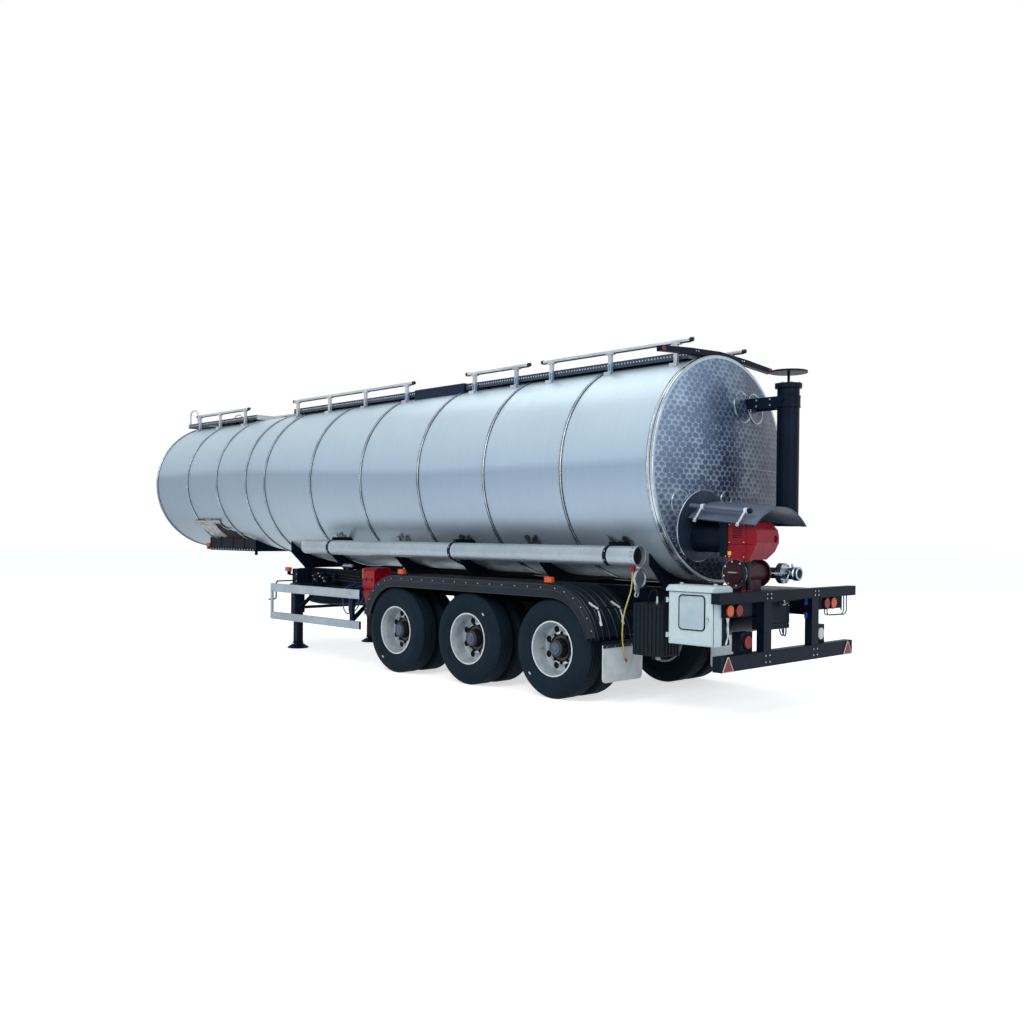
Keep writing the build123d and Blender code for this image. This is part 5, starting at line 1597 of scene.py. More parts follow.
@dataclass
class Guards(Assembly):
    """Rivets, rolled edges and rubber clasps of the mudguards, and the flaps' borders."""

    outer: float = 1.245
    arch: float = 0.625
    low_centre: float = 0.553
    span: float = 2.620
    rivet_drop: float = 0.028
    ribs: tuple[float, ...] = (1.200, 1.120, 1.020, 0.905, 0.795, 0.695)
    flap_x: float = -0.700
    flap_low: Point = (0.0, 0.612, 0.242)
    flap_high: Point = (0.0, 1.225, 0.612)
    clasp_parts: tuple[tuple[str, tuple[Point, ...], float], ...] = (
        ("anchor", ((133.0, 0.008, 0.02), (138.0, 0.012, -0.01), (141.0, 0.010, -0.05)), 0.013),
        (
            "strap",
            ((143.5, 0.014, -0.035), (147.0, 0.024, -0.012), (151.0, 0.026, 0.0), (155.0, 0.014, 0.004)),
            0.0085,
        ), ("pull", ((154.0, 0.014, 0.004), (158.0, 0.013, 0.008)), 0.014),
    )

    def path(self, reach: float, low: float = -9.5, count: int = 14) -> Profile:
        """Stations and heights along the guard's crown, rear arch to front arch.

        Args:
            reach: distance from the arch's centre.
            low: end angle of the arches, in degrees below the level.
            count: how many steps each arch has.

        Returns:
            The points.
        """
        points = []
        for start, middle in ((180.0 + low, 0.0), (90.0, self.span)):
            for index in range(count + 1):
                angle = math.radians(start - (90.0 + low) * index / count)
                points.append((middle + reach * math.cos(angle), self.low_centre + reach * math.sin(angle)))
        return points

    def edges(self, side: float, name: str) -> None:
        """Roll the guard's outer edge and lay its raised ribs."""
        lines = [("rib", y, self.arch + 0.0015, 0.0065) for y in self.ribs]
        for y, reach in (
            (self.outer - 0.004, self.arch + 0.001), (self.outer, self.arch - 0.050),
            (self.outer, self.arch - 0.126),
        ):
            lines.append(("edge", y, reach, 0.0045))
        rods = [
            Bench.rod(kind, [self.at(a, side * y, z) for a, z in self.path(reach)], radius, 8)
            for kind, y, reach, radius in lines
        ]
        self.merge(f"guard_ribs_{name}", rods, Coat.GLOSS, degrees=40.0)

    def rivets(self, side: float, name: str) -> None:
        """Set rivets along the guard's skirt."""
        reach = self.arch - self.rivet_drop
        spots = [(0.14 + 0.195 * index, self.low_centre + reach) for index in range(13)]
        for index in range(6):
            angle = math.radians(96.0 + 13.0 * index)
            spots.append((reach * math.cos(angle), self.low_centre + reach * math.sin(angle)))
            spots.append((self.span - reach * math.cos(angle), self.low_centre + reach * math.sin(angle)))
        places = [self.place(a, side * (self.outer + 0.0002), z, sideways(side)) for a, z in spots]
        self.bolts(f"guard_rivets_{name}", (0.0062, 0.0035, 8), places)

    def clasp(self, side: float, y: float) -> list[Piece]:
        """One rubber clasp over the rear arch: two anchors and the strap between them."""
        parts = []
        for name, spots, radius in self.clasp_parts:
            run = []
            for angle, lift, shift in spots:
                turn, reach = math.radians(angle), self.arch + lift
                run.append(self.at(
                    reach * math.cos(turn), side * (y + shift), self.low_centre + reach * math.sin(turn),
                ))
            parts.append(Bench.rod(name, run, radius, 8))
        return parts

    def clasps(self, side: float, name: str) -> None:
        """Fit the pale rubber clasps over the rear arch."""
        self.merge(f"guard_clasps_{name}", self.clasp(side, 1.118) + self.clasp(side, 0.775), Coat.WHITE)

    def flap(self, side: float, name: str) -> None:
        """Border the mudflap and cap it with its clamping strip."""
        near, far = self.flap_low[1], self.flap_high[1]
        low, high = self.flap_low[2], self.flap_high[2]
        x = self.flap_x - 0.0005
        edge = [
            (near, high - 0.03), (near, low + 0.04), (near + 0.012, low + 0.012), (near + 0.04, low),
            (far - 0.04, low), (far - 0.012, low + 0.012), (far, low + 0.04), (far, high - 0.03),
        ]
        self.fit(
            Bench.rod(f"flap_border_{name}", [self.at(x, side * y, z) for y, z in edge], 0.0045, 8), Coat.WHITE,
        )
        ends = sorted((side * (near + 0.002), side * (far - 0.002)))
        strip = self.block(
            f"flap_strip_{name}", (x - 0.004, ends[0], high - 0.032), (x + 0.001, ends[1], high - 0.001),
            0.0015,
        )
        self.fit(strip, Coat.BORDER)
        across = [side * (near + 0.05 + (far - near - 0.1) * index / 4) for index in range(5)]
        places = [self.place(x - 0.004, y, high - 0.017, REARWARD) for y in across]
        self.bolts(f"flap_bolts_{name}", (0.007, 0.005), places)

    def build(self) -> None:
        """Build the trim on both sides."""
        for side, name in SIDES:
            self.edges(side, name)
            self.rivets(side, name)
            self.clasps(side, name)
            self.flap(side, name)


# Rear end


@dataclass
class RearGear(Assembly):
    """Bolts, clamps and fittings of the burner, hood, chimney, outlet and strainer."""

    shape: TankShape | None = None
    chimney: Point = (-1.735, -0.430, 0.112)
    arm_height: float = 3.075
    hood_rail_y: float = 0.660
    hood_rail_start: float = 2.004
    hood_slope: float = 0.089
    strainer: Point = (-1.760, 0.0, 1.343)
    outlet: Point = (0.0, -0.300, 1.330)

    def hood_trim(self) -> None:
        """Clamp the hood's rail with the two pale clamps and cap its rear end."""
        y = self.hood_rail_y
        clamps, studs = [], []
        for station in (-1.470, -1.955):
            top = self.rail_height(station)
            rim = [(-0.016, 0.0225), (-0.018, 0.027), (0.018, 0.027), (0.016, 0.0225)]
            knee = self.run(
                (station - 0.012, y + 0.026, top + 0.012), (station + 0.012, y + 0.034, top - 0.030),
                (station + 0.045, y + 0.030, top - 0.080), (station + 0.075, y + 0.026, top - 0.118),
            )
            foot = [knee[-1], knee[-1] + Vector((0.016, -0.006, -0.022))]
            clamps += [
                self.turned("collar", rim, (station, y, top), "X", 24),
                Bench.rod("clamp_strap", knee, 0.0095, 8, smooth=True),
                Bench.rod("clamp_foot", foot, 0.017, 10),
            ]
            studs.append(facing(knee[-1] + Vector((0.004, 0.017, -0.010)), LEFT))
        self.merge("hood_clamps", clamps, Coat.WHITE)
        self.bolts("hood_clamp_studs", (0.008, 0.006), studs)
        cap = [(-0.010, 0.0001), (-0.010, 0.021), (0.0, 0.026), (0.022, 0.026), (0.026, 0.0225)]
        end = self.at(-2.0, y, self.rail_height(-2.0))
        self.smooth(Bench.turned("hood_rail_caps", cap, end, "X", 20), Coat.CHASSIS)

    def rail_height(self, station: float) -> float:
        """Height of the hood's rail at a station."""
        return self.hood_rail_start + self.hood_slope * (station + 1.252)

    def hood_edge(self) -> None:
        """Roll the hood's rear and side edges."""
        middle, radius, drop, crown = 0.230, 0.660, 0.180, 1.983
        rear, front = -2.083, -1.300
        half = math.acos((radius - drop) / radius)
        points = []
        for index in range(25):
            angle = -half + 2.0 * half * index / 24
            height = crown - radius + radius * math.cos(angle)
            points.append(self.at(rear + 0.010, middle + radius * math.sin(angle) * 0.996, height - 0.003))
        rods = [Bench.rod("hood_lip", points, 0.005, 8)]
        low = crown - drop
        for side in (-1.0, 1.0):
            y = middle + side * radius * math.sin(half) * 0.994
            hem = self.run((rear + 0.03, y, low), (front, y, low + self.hood_slope * (front - rear)))
            rods.append(Bench.rod("hood_hem", hem, 0.006, 8))
        self.merge("hood_hem", rods, Coat.GLOSS)

    def chimney_trim(self) -> None:
        """Bolt the chimney's clamp arms and flange."""
        x, y, radius = self.chimney
        places = []
        for side in (-1.0, 1.0):
            face = y + side * (radius + 0.0085)
            for station in (x + 0.14, x + 0.30):
                for lift in (-0.030, 0.030):
                    places.append(self.place(station, face, self.arm_height + lift, sideways(side)))
        for index in range(8):
            angle = 2.0 * math.pi * index / 8
            places.append(self.place(x + 0.124 * math.cos(angle), y + 0.124 * math.sin(angle), 3.262, UP))
        self.bolts("chimney_bolts", (0.0105, 0.008), places)
        bands = []
        for height in (3.218, 3.130, 3.020, 1.900):
            profile = [
                (height - 0.006, radius), (height - 0.004, radius + 0.012), (height + 0.004, radius + 0.012),
                (height + 0.006, radius),
            ]
            bands.append(self.turned("pipe_band", profile, (x, y, 0.0), "Z", 40))
        bolt = self.turned(
            "arm_pin", [(0.0, 0.0001), (0.0, 0.026), (0.016, 0.024), (0.016, 0.0001)],
            (x, y + radius + 0.008, self.arm_height + 0.02), "Y", 20,
        )
        self.merge("chimney_bands", bands + [bolt], Coat.CHASSIS)

    def strainer_trim(self) -> None:
        """Bolt the strainer's end flanges and fit its gaskets, dome and grip."""
        x, _, z = self.strainer
        middle = self.at(x, 0, z)
        places = bolt_circle(self.at(x, 0.550, z), LEFT, 0.118, 8, 0.2)
        places += bolt_circle(self.at(x, 0.120, z), sideways(-1.0), 0.118, 8, 0.2)
        self.bolts("strainer_bolts", (0.0105, 0.012), places)
        bright = [(0.546, 0.1355), (0.546, 0.1380), (0.551, 0.1380), (0.551, 0.1355)]
        self.smooth(Bench.turned("strainer_ring", bright, middle, "Y", 56), Coat.BEAD)
        rings = []
        for y in (0.528, 0.142):
            gasket = [(y - 0.002, 0.128), (y - 0.002, 0.1365), (y + 0.002, 0.1365), (y + 0.002, 0.128)]
            rings.append(Bench.turned("gasket", gasket, middle, "Y", 48))
        cap = [(0.550, 0.098), (0.556, 0.094), (0.560, 0.070), (0.562, 0.040), (0.562, 0.0001)]
        rings.append(Bench.turned("dome", cap, middle, "Y", 40))
        self.merge("strainer_trim", rings, Coat.OXIDE)
        handle = self.run(
            (x - 0.055, 0.560, z + 0.01), (x - 0.045, 0.588, z + 0.012), (x + 0.045, 0.588, z + 0.012),
            (x + 0.055, 0.560, z + 0.01),
        )
        self.smooth(Bench.rod("strainer_grip", handle, 0.007, 10), Coat.ZINC)

    def outlet_trim(self) -> None:
        """Bolt the outlet's flange and fit its cam coupling."""
        _, y, height = self.outlet
        places = bolt_circle(self.at(-1.800, y, height), REARWARD, 0.088, 8, 0.2)
        self.bolts("outlet_bolts", (0.0095, 0.012), places)
        neck = [
            (-1.958, 0.058), (-1.962, 0.062), (-1.958, 0.068), (-1.945, 0.070), (-1.938, 0.064),
            (-1.925, 0.064), (-1.918, 0.071), (-1.905, 0.071), (-1.898, 0.062),
        ]
        parts = [
            self.turned("coupling_rings", neck, (0.0, y, height), "X", 48),
            self.rod("cam_pin", ((-1.878, y, height + 0.058), (-1.878, y, height + 0.098)), 0.012, 10),
        ]
        for side in (-1.0, 1.0):
            hinge = self.at(-1.878, y + side * 0.080, height + 0.012)
            arm = [
                hinge, hinge + Vector((-0.012, side * 0.014, -0.030)),
                hinge + Vector((0.012, side * 0.022, -0.088)),
            ]
            size = Vector((0.022, 0.014, 0.020))
            parts += [
                Bench.rod("cam_arm", arm, 0.009, 8), Bench.block("cam_boss", hinge - size, hinge + size, 0.005),
            ]
        self.merge("outlet_coupling", parts, Coat.POLISHED)

    def burner_trim(self) -> None:
        """Fit the burner's blank label and plate, seams, screws, side frame, flange bolts and vents."""
        face = 0.620
        line = face + 0.0006
        label = self.block(
            "burner_label", (-1.765, face - 0.0005, 1.520), (-1.726, face + 0.0012, 1.556), 0.0004,
        )
        self.fit(label, Coat.YELLOW)
        plate = self.block(
            "burner_plate", (-1.880, face - 0.0005, 1.560), (-1.800, face + 0.0012, 1.600), 0.0004,
        )
        self.fit(plate, Coat.BURNER)
        seams = [((-1.724, line, z), (-2.005, line, z)) for z in (1.625, 1.790)]
        seams.append(((-1.930, line, 1.486), (-1.930, line, 1.830)))
        self.fit(Bench.join("burner_seams", [self.rod("seam", ends, 0.0024, 6) for ends in seams]), Coat.DARK)
        spots = [(x, face + 0.0004, z) for z in (1.810, 1.644, 1.506) for x in (-1.745, -1.905)]
        spots += [(-1.711, face + 0.010, z) for z in (1.835, 1.510)]
        self.bolts("burner_screws", (0.006, 0.004, 8), [self.place(*spot, LEFT) for spot in spots])
        frame = self.block("burner_frame", (-1.727, face - 0.01, 1.500), (-1.700, face + 0.0125, 1.846), 0.004)
        self.fit(frame, Coat.CHASSIS)
        flange = [
            self.place(-1.6405, 0.455 + a, 1.675 + b, FORWARD) for b in (0.150, -0.150) for a in (-0.150, 0.150)
        ]
        self.bolts("burner_flange_bolts", (0.011, 0.012), flange)
        heights = [1.690 + 0.017 * index for index in range(6)]
        vents = [self.rod("vent", ((-1.780, line, z), (-1.880, line, z)), 0.0035, 6) for z in heights]
        self.fit(Bench.join("burner_vents", vents), Coat.DARK)

    def build(self) -> None:
        """Build the rear fittings."""
        self.hood_trim()
        self.hood_edge()
        self.chimney_trim()
        self.strainer_trim()
        self.outlet_trim()
        self.burner_trim()


@dataclass
class RearFrame(Assembly):
    """Lamp bezels, wire guard, cabinet furniture, platform clutter and bumper rims."""

    lamp_x: float = -2.002
    reds: tuple[Point, ...] = ((0.0, 0.857, 1.020), (0.0, -0.744, 1.020))
    ambers: tuple[Point, ...] = ((0.0, 1.004, 1.022), (0.0, -0.886, 1.020))
    fog: Point = (-1.980, 0.668, 0.714)
    cabinet: tuple[float, ...] = (-1.968, -1.474, 0.938, 1.183, 0.700, 1.190)
    door_face: float = 1.204
    window: tuple[float, ...] = (-1.870, -1.612, 0.856, 1.146)

    def bezels(self) -> None:
        """Ring each rear lamp with its dark bezel."""
        x = self.lamp_x
        profile = [(x - 0.001, 0.0530), (x - 0.012, 0.0585), (x - 0.012, 0.062), (x + 0.001, 0.064)]
        rings = [self.turned("bezel", profile, (0.0, y, z), "X", 40) for _, y, z in (*self.reds, *self.ambers)]
        x, y, z = self.fog
        profile = [(x - 0.001, 0.061), (x - 0.010, 0.067), (x - 0.010, 0.071), (x + 0.001, 0.074)]
        rings += [self.turned("bezel", profile, (0.0, side * y, z), "X", 40) for side in (1.0, -1.0)]
        self.merge("lamp_bezels", rings, Coat.DARK)

    def wire_guard(self) -> None:
        """Bend the wire guard round the right rear lamps."""
        outer, inner = -1.090, -0.690
        route = [
            (outer, 1.094), (outer - 0.002, 0.935), (outer + 0.022, 0.905), (outer + 0.060, 0.896),
            (inner - 0.060, 0.902), (inner - 0.02, 0.908), (inner, 0.925), (inner, 0.980),
        ]
        wires = [
            Bench.rod("wire", [self.at(station, y, z) for y, z in route], 0.0062, 8)
            for station in (-2.020, -2.050)
        ]
        self.merge("lamp_guard", wires, Coat.BLUE)
        self.fit(
            self.block("lamp_side_plate", (-1.996, -1.100, 0.935), (-1.990, -1.075, 1.094), 0.002), Coat.ACCENT,
        )

    def door_trim(self) -> None:
        """Fit the cabinet door's window with its gasket, the lock and the hem."""
        x0, x1, _, _, z0, z1 = self.cabinet
        w0, w1, v0, v1 = self.window
        face, door = self.door_face, "cabinet_door"
        glass = self.block("door_window", (w0, face - 0.0028, v0), (w1, face - 0.0008, v1), 0.0008)
        self.fit(glass, Coat.PANE, door)
        radius, lap = 0.034, 0.012
        a0, a1 = w0 - lap + radius, w1 + lap - radius
        b0, b1 = v0 - lap + radius, v1 + lap - radius
        route = []
        for x, z, start in ((a1, b1, 0.0), (a0, b1, 90.0), (a0, b0, 180.0), (a1, b0, 270.0)):
            for step in range(7):
                angle = math.radians(start + 15.0 * step)
                route.append(self.at(x + radius * math.cos(angle), face + 0.0035, z + radius * math.sin(angle)))
        self.fit(Bench.rod("window_gasket", route, 0.0065, closed=True), Coat.DARK, door)
        profile = [(face + 0.013, 0.0001), (face + 0.018, 0.008), (face + 0.016, 0.0125), (face, 0.0155)]
        lock = self.turned("lock", profile, (-1.915, 0.0, 0.952), "Y", 24)
        key = self.block("lock_key", (-1.921, face + 0.012, 0.918), (-1.909, face + 0.022, 0.966), 0.003)
        self.merge("door_lock", [lock, key], Coat.ZINC, door)
        left, right, low, high = x0 + 0.010, x1 - 0.012, z0 + 0.012, z1 - 0.012
        hem = [(a, face + 0.0004, b) for a, b in ((left, low), (right, low), (right, high), (left, high))]
        self.fit(self.rod("door_hem", hem, 0.0022, 6, closed=True), Coat.CABINET, door)

    def cabinet_trim(self) -> None:
        """Give the cabinet its lifting eyes, gutter and conduit."""
        x0, x1, _, _, _, z1 = self.cabinet
        eyes = []
        collar = [(z1 + 0.054, 0.0135), (z1 + 0.058, 0.019), (z1 + 0.066, 0.019), (z1 + 0.070, 0.0135)]
        for station in (x1 - 0.060, x0 + 0.060):
            eyes.append(self.turned("eye_collar", collar, (station, 1.080, 0.0), "Z", 20))
            eye = self.at(station, 1.080, z1 + 0.062)
            pin = [eye + Vector((-0.020, 0, 0.010)), eye + Vector((0.020, 0, 0.010))]
            eyes.append(Bench.rod("eye_pin", pin, 0.005))
        self.merge("cabinet_eyes", eyes, Coat.ZINC)
        gutter = self.rod(
            "cabinet_gutter", ((x0 - 0.009, 1.221, z1 + 0.004), (x1 + 0.014, 1.221, z1 + 0.004)), 0.0035, 6,
        )
        self.fit(gutter, Coat.CABINET)
        conduit = self.rod(
            "cabinet_conduit",
            (
                (x0 - 0.011, 1.060, 1.120), (x0 - 0.022, 1.030, 1.000), (x0 - 0.020, 0.990, 0.880),
                (x0 - 0.012, 0.985, 0.760), (x0 - 0.014, 1.020, 0.716),
            ), 0.010, 10, smooth=True,
        )
        self.smooth(conduit, Coat.ZINC)

    def bumper(self) -> None:
        """Edge the reflectors, bolt the posts and dress the platform."""
        rims = []
        for side in (-1.0, 1.0):
            middle = side * 1.100
            corners = [(middle - 0.088, 0.480), (middle + 0.088, 0.480), (middle, 0.622)]
            points = []
            for (ya, za), (yb, zb) in zip(corners, corners[1:] + corners[:1]):
                points += [
                    self.at(-2.066, ya + (yb - ya) * share, za + (zb - za) * share) for share in (0.08, 0.92)
                ]
            rims.append(Bench.rod("reflector_rim", points, 0.0045, 6, closed=True))
        self.fit(Bench.join("reflector_rims", rims), Coat.WHITE)
        places = []
        for y in (-0.440, 0.440):
            for z in (0.520, 0.580, 1.120, 1.160):
                for shift in (-0.035, 0.035):
                    places.append(self.place(-2.0602 if z < 1.0 else -2.0702, y + shift, z, REARWARD))
        self.bolts("frame_bolts", (0.0085, 0.007), places)
        hems = []
        for z in (1.094, 1.186):
            hems.append(self.rod("beam_hem", ((-2.0695, -1.245, z), (-2.0695, 1.245, z)), 0.004, 6))
        for z in (0.482, 0.618):
            hems.append(self.rod("bumper_hem", ((-2.0595, -1.200, z), (-2.0595, 1.200, z)), 0.004, 6))
        self.fit(Bench.join("frame_hems", hems), Coat.CHASSIS)

    def valves(self) -> None:
        """Hang the tap, air fittings and lines between the rear posts."""
        x, y, z = -1.965, 0.030, 1.050
        body = [(-0.030, 0.0001), (-0.030, 0.018), (-0.012, 0.024), (0.018, 0.024), (0.030, 0.014)]
        handle = ((x - 0.030, y - 0.045, z + 0.004), (x - 0.034, y, z), (x - 0.030, y + 0.050, z - 0.010))
        bow = ((x - 0.02, y, z + 0.02), (x - 0.024, y, z + 0.050))
        self.merge(
            "drain_tap",
            [
                self.turned("tap_body", body, (x, y, z), "X", 20), self.rod("tap_handle", handle, 0.008),
                self.rod("tap_bow", bow, 0.007),
            ], Coat.ZINC,
        )
        couplings = ((-0.360, 1.052, 0.034), (-0.362, 0.917, 0.030), (0.362, 0.990, 0.030))
        self.merge(
            "air_couplings",
            [
                self.block("air_coupling", (-2.010, y - 0.018, z - high), (-1.986, y + 0.018, z + high), 0.006)
                for y, z, high in couplings
            ], Coat.ACCENT,
        )
        self.merge(
            "air_lines",
            [
                self.rod(
                    "air_line",
                    (
                        (-1.930, y, 0.806), (-1.934, y + 0.004, 0.760),
                        (-1.930, y + 0.018, 0.712 + 0.012 * index), (-1.915, y + 0.036, 0.740),
                        (-1.905, y + 0.040, 0.806),
                    ), 0.007, smooth=True,
                ) for index, y in enumerate((-0.105, -0.060, 0.190, 0.240))
            ], Coat.HOSE,
        )
        cover = self.block("valve_cover", (-1.958, -0.110, 0.830), (-1.949, 0.280, 1.040), 0.006)
        Bench.pick(cover, lambda middle, normal: normal.x < -0.9)
        bpy.ops.mesh.inset(thickness=0.022, depth=-0.004)
        Bench.done()
        self.smooth(cover, Coat.CHASSIS)
        places = [self.place(-1.958, y, z, REARWARD) for y in (-0.098, 0.268) for z in (0.845, 1.025)]
        self.bolts("valve_cover_screws", (0.006, 0.004, 8), places)

    def build(self) -> None:
        """Build the rear frame's fittings."""
        self.bezels()
        self.wire_guard()
        self.door_trim()
        self.cabinet_trim()
        self.bumper()
        self.valves()


# Top of the tank


@dataclass
class TopDeck(Assembly):
    """Walkway treads and edges, post feet, rail ends, lamp-bar lenses and manhole dogs."""

    shape: TankShape | None = None
    walks: tuple[tuple[float, float], ...] = ((-1.120, 2.235), (3.235, 6.150), (7.250, 9.540))
    half: float = 0.450
    top: float = 3.555
    rail_y: float = 0.470
    rail_z: float = 3.665
    posts: tuple[float, ...] = (
        -0.990, -0.120, 0.750, 1.320, 2.050, 3.380, 4.300, 5.170, 6.010, 7.560, 8.380, 9.080,
    )
    rails: tuple[tuple[float, float], ...] = ((-1.190, 0.900), (1.100, 2.200), (3.230, 6.120), (7.440, 9.180))
    manhole: Point = (2.795, 0.0, 3.598)
    filmed: tuple[float, ...] = (-0.120, 0.750, 1.320, 2.050, 3.380)
    tread_pitch: float = 0.075
    tooth_pitch: float = 0.040
    rail_cap: Profile = (
        (-0.030, 0.0215), (-0.028, 0.0235), (0.001, 0.0235), (0.006, 0.022), (0.010, 0.014), (0.011, 0.0001),
    )

    def treads(self) -> None:
        """Lay the raised tread strips and the toothed edge of each deck."""
        reach, top = self.half - 0.02, self.top + 0.003
        strips = []
        for start, end in self.walks:
            for index in range(int((end - start) / self.tread_pitch)):
                x = start + 0.035 + self.tread_pitch * index
                strips.append(self.rod("tread", ((x, -reach, top), (x, reach, top)), 0.005, 4))
        self.fit(Bench.join("deck_treads", strips), Coat.RAIL)
        teeth = []
        for side in (-1.0, 1.0):
            for start, end in self.walks:
                for index in range(int((end - start) / self.tooth_pitch)):
                    x = start + 0.02 + self.tooth_pitch * index
                    teeth.append(self.place(x, side * self.half, self.top - 0.030, sideways(side)))
        stud = Bench.turned("stud", [(0.0, 0.010), (0.0022, 0.008), (0.0022, 0.0001)], ORIGIN, "Z", 8)
        self.fit(Bench.copies("deck_edge_teeth", stud, teeth), Coat.ZINC)

    def feet(self) -> None:
        """Wrap the posts' feet in blue film and set saddles below the rail."""
        films, saddles = [], []
        middle, top = self.rail_y, self.rail_z
        for x in self.posts:
            low = self.shape.top_at(x, middle) + 0.020
            for side in (-1.0, 1.0):
                if x in self.filmed:
                    near, far = sorted((side * (middle + 0.0150), side * (middle + 0.0200)))
                    front = (x - 0.0130, near, low + 0.004), (x + 0.0130, far, low + 0.078)
                    near, far = sorted((side * (middle - 0.019), side * (middle + 0.0195)))
                    back = (x - 0.0240, near + 0.006, low + 0.004), (x - 0.0205, far - 0.006, low + 0.078)
                    films += [self.block("film", *ends, 0.001, 1) for ends in (front, back)]
                near, far = sorted((side * (middle - 0.024), side * (middle + 0.024)))
                ends = (x - 0.055, near, top - 0.034), (x + 0.055, far, top - 0.018)
                saddles.append(self.block("saddle", *ends, 0.004, 1))
        self.fit(Bench.join("post_films", films), Coat.SLEEVE)
        self.merge("rail_saddles", saddles, Coat.RAIL)

    def rail_trim(self) -> None:
        """Cap the rails' ends and lay a dark strip of painted shade under each rail."""
        y, z = self.rail_y, self.rail_z
        caps, shade_strips = [], []
        for start, end in self.rails:
            for station, way in ((start, -1.0), (end, 1.0)):
                profile = [(a * way, radius) for a, radius in self.rail_cap]
                caps += [self.turned("cap", profile, (station, side * y, z), "X", 16) for side in (-1.0, 1.0)]
        self.merge("rail_caps", caps, Coat.BORDER)
        # Dark strips of painted shade under the rails.
        for start, end in self.rails:
            for side in (-1.0, 1.0):
                ends = (start + 0.02, side * y, z - 0.016), (end - 0.02, side * y, z - 0.016)
                shade_strips.append(self.rod("rail_shade", ends, 0.013))
        self.merge("rail_shades", shade_strips, Coat.BORDER)

    def manhole_trim(self) -> None:
        """Fit the lid's dogs, its handle and bolts, and the spill box's rolled rim."""
        x, y, z = self.manhole
        places = bolt_circle(self.at(x, y, z - 0.015), UP, 0.232, 12, 0.26)
        self.bolts("lid_bolts", (0.012, 0.014), places, Coat.ZINC, "manhole_lid")
        grip = self.run(
            (x + 0.06, -0.07, z), (x + 0.06, -0.065, z + 0.035), (x + 0.06, 0.065, z + 0.035),
            (x + 0.06, 0.07, z),
        )
        self.fit(Bench.rod("lid_handle", grip, 0.008, 10), Coat.ZINC, "manhole_lid")
        rim = [
            self.at(a, b, 3.560) for a, b in ((2.254, -0.466), (3.216, -0.466), (3.216, 0.466), (2.254, 0.466))
        ]
        self.fit(Bench.rod("spill_rim", rim, 0.006, 8, closed=True), Coat.BLUE)

    def lamp_bar(self) -> None:
        """Put the red end lenses on the lamp bar and clamps at its middle."""
        lenses = []
        for side in (-1.0, 1.0):
            near, far = sorted((side * 0.925, side * 0.983))
            for rear, front in ((-1.2055, -1.2015), (-1.1385, -1.1345)):
                lenses.append(self.block("bar_lens", (rear, near, 3.4905), (front, far, 3.5300), 0.0015))
        self.fit(Bench.join("bar_lenses", lenses), Coat.LENS_RED)
        places = [self.place(-1.202, y, 3.552, REARWARD) for y in (-0.430, -0.390, 0.390, 0.430)]
        self.bolts("bar_bolts", (0.008, 0.006), places)

    def build(self) -> None:
        """Build the deck's fittings."""
        self.treads()
        self.feet()
        self.rail_trim()
        self.manhole_trim()
        self.lamp_bar()


# Side of the tank and chassis


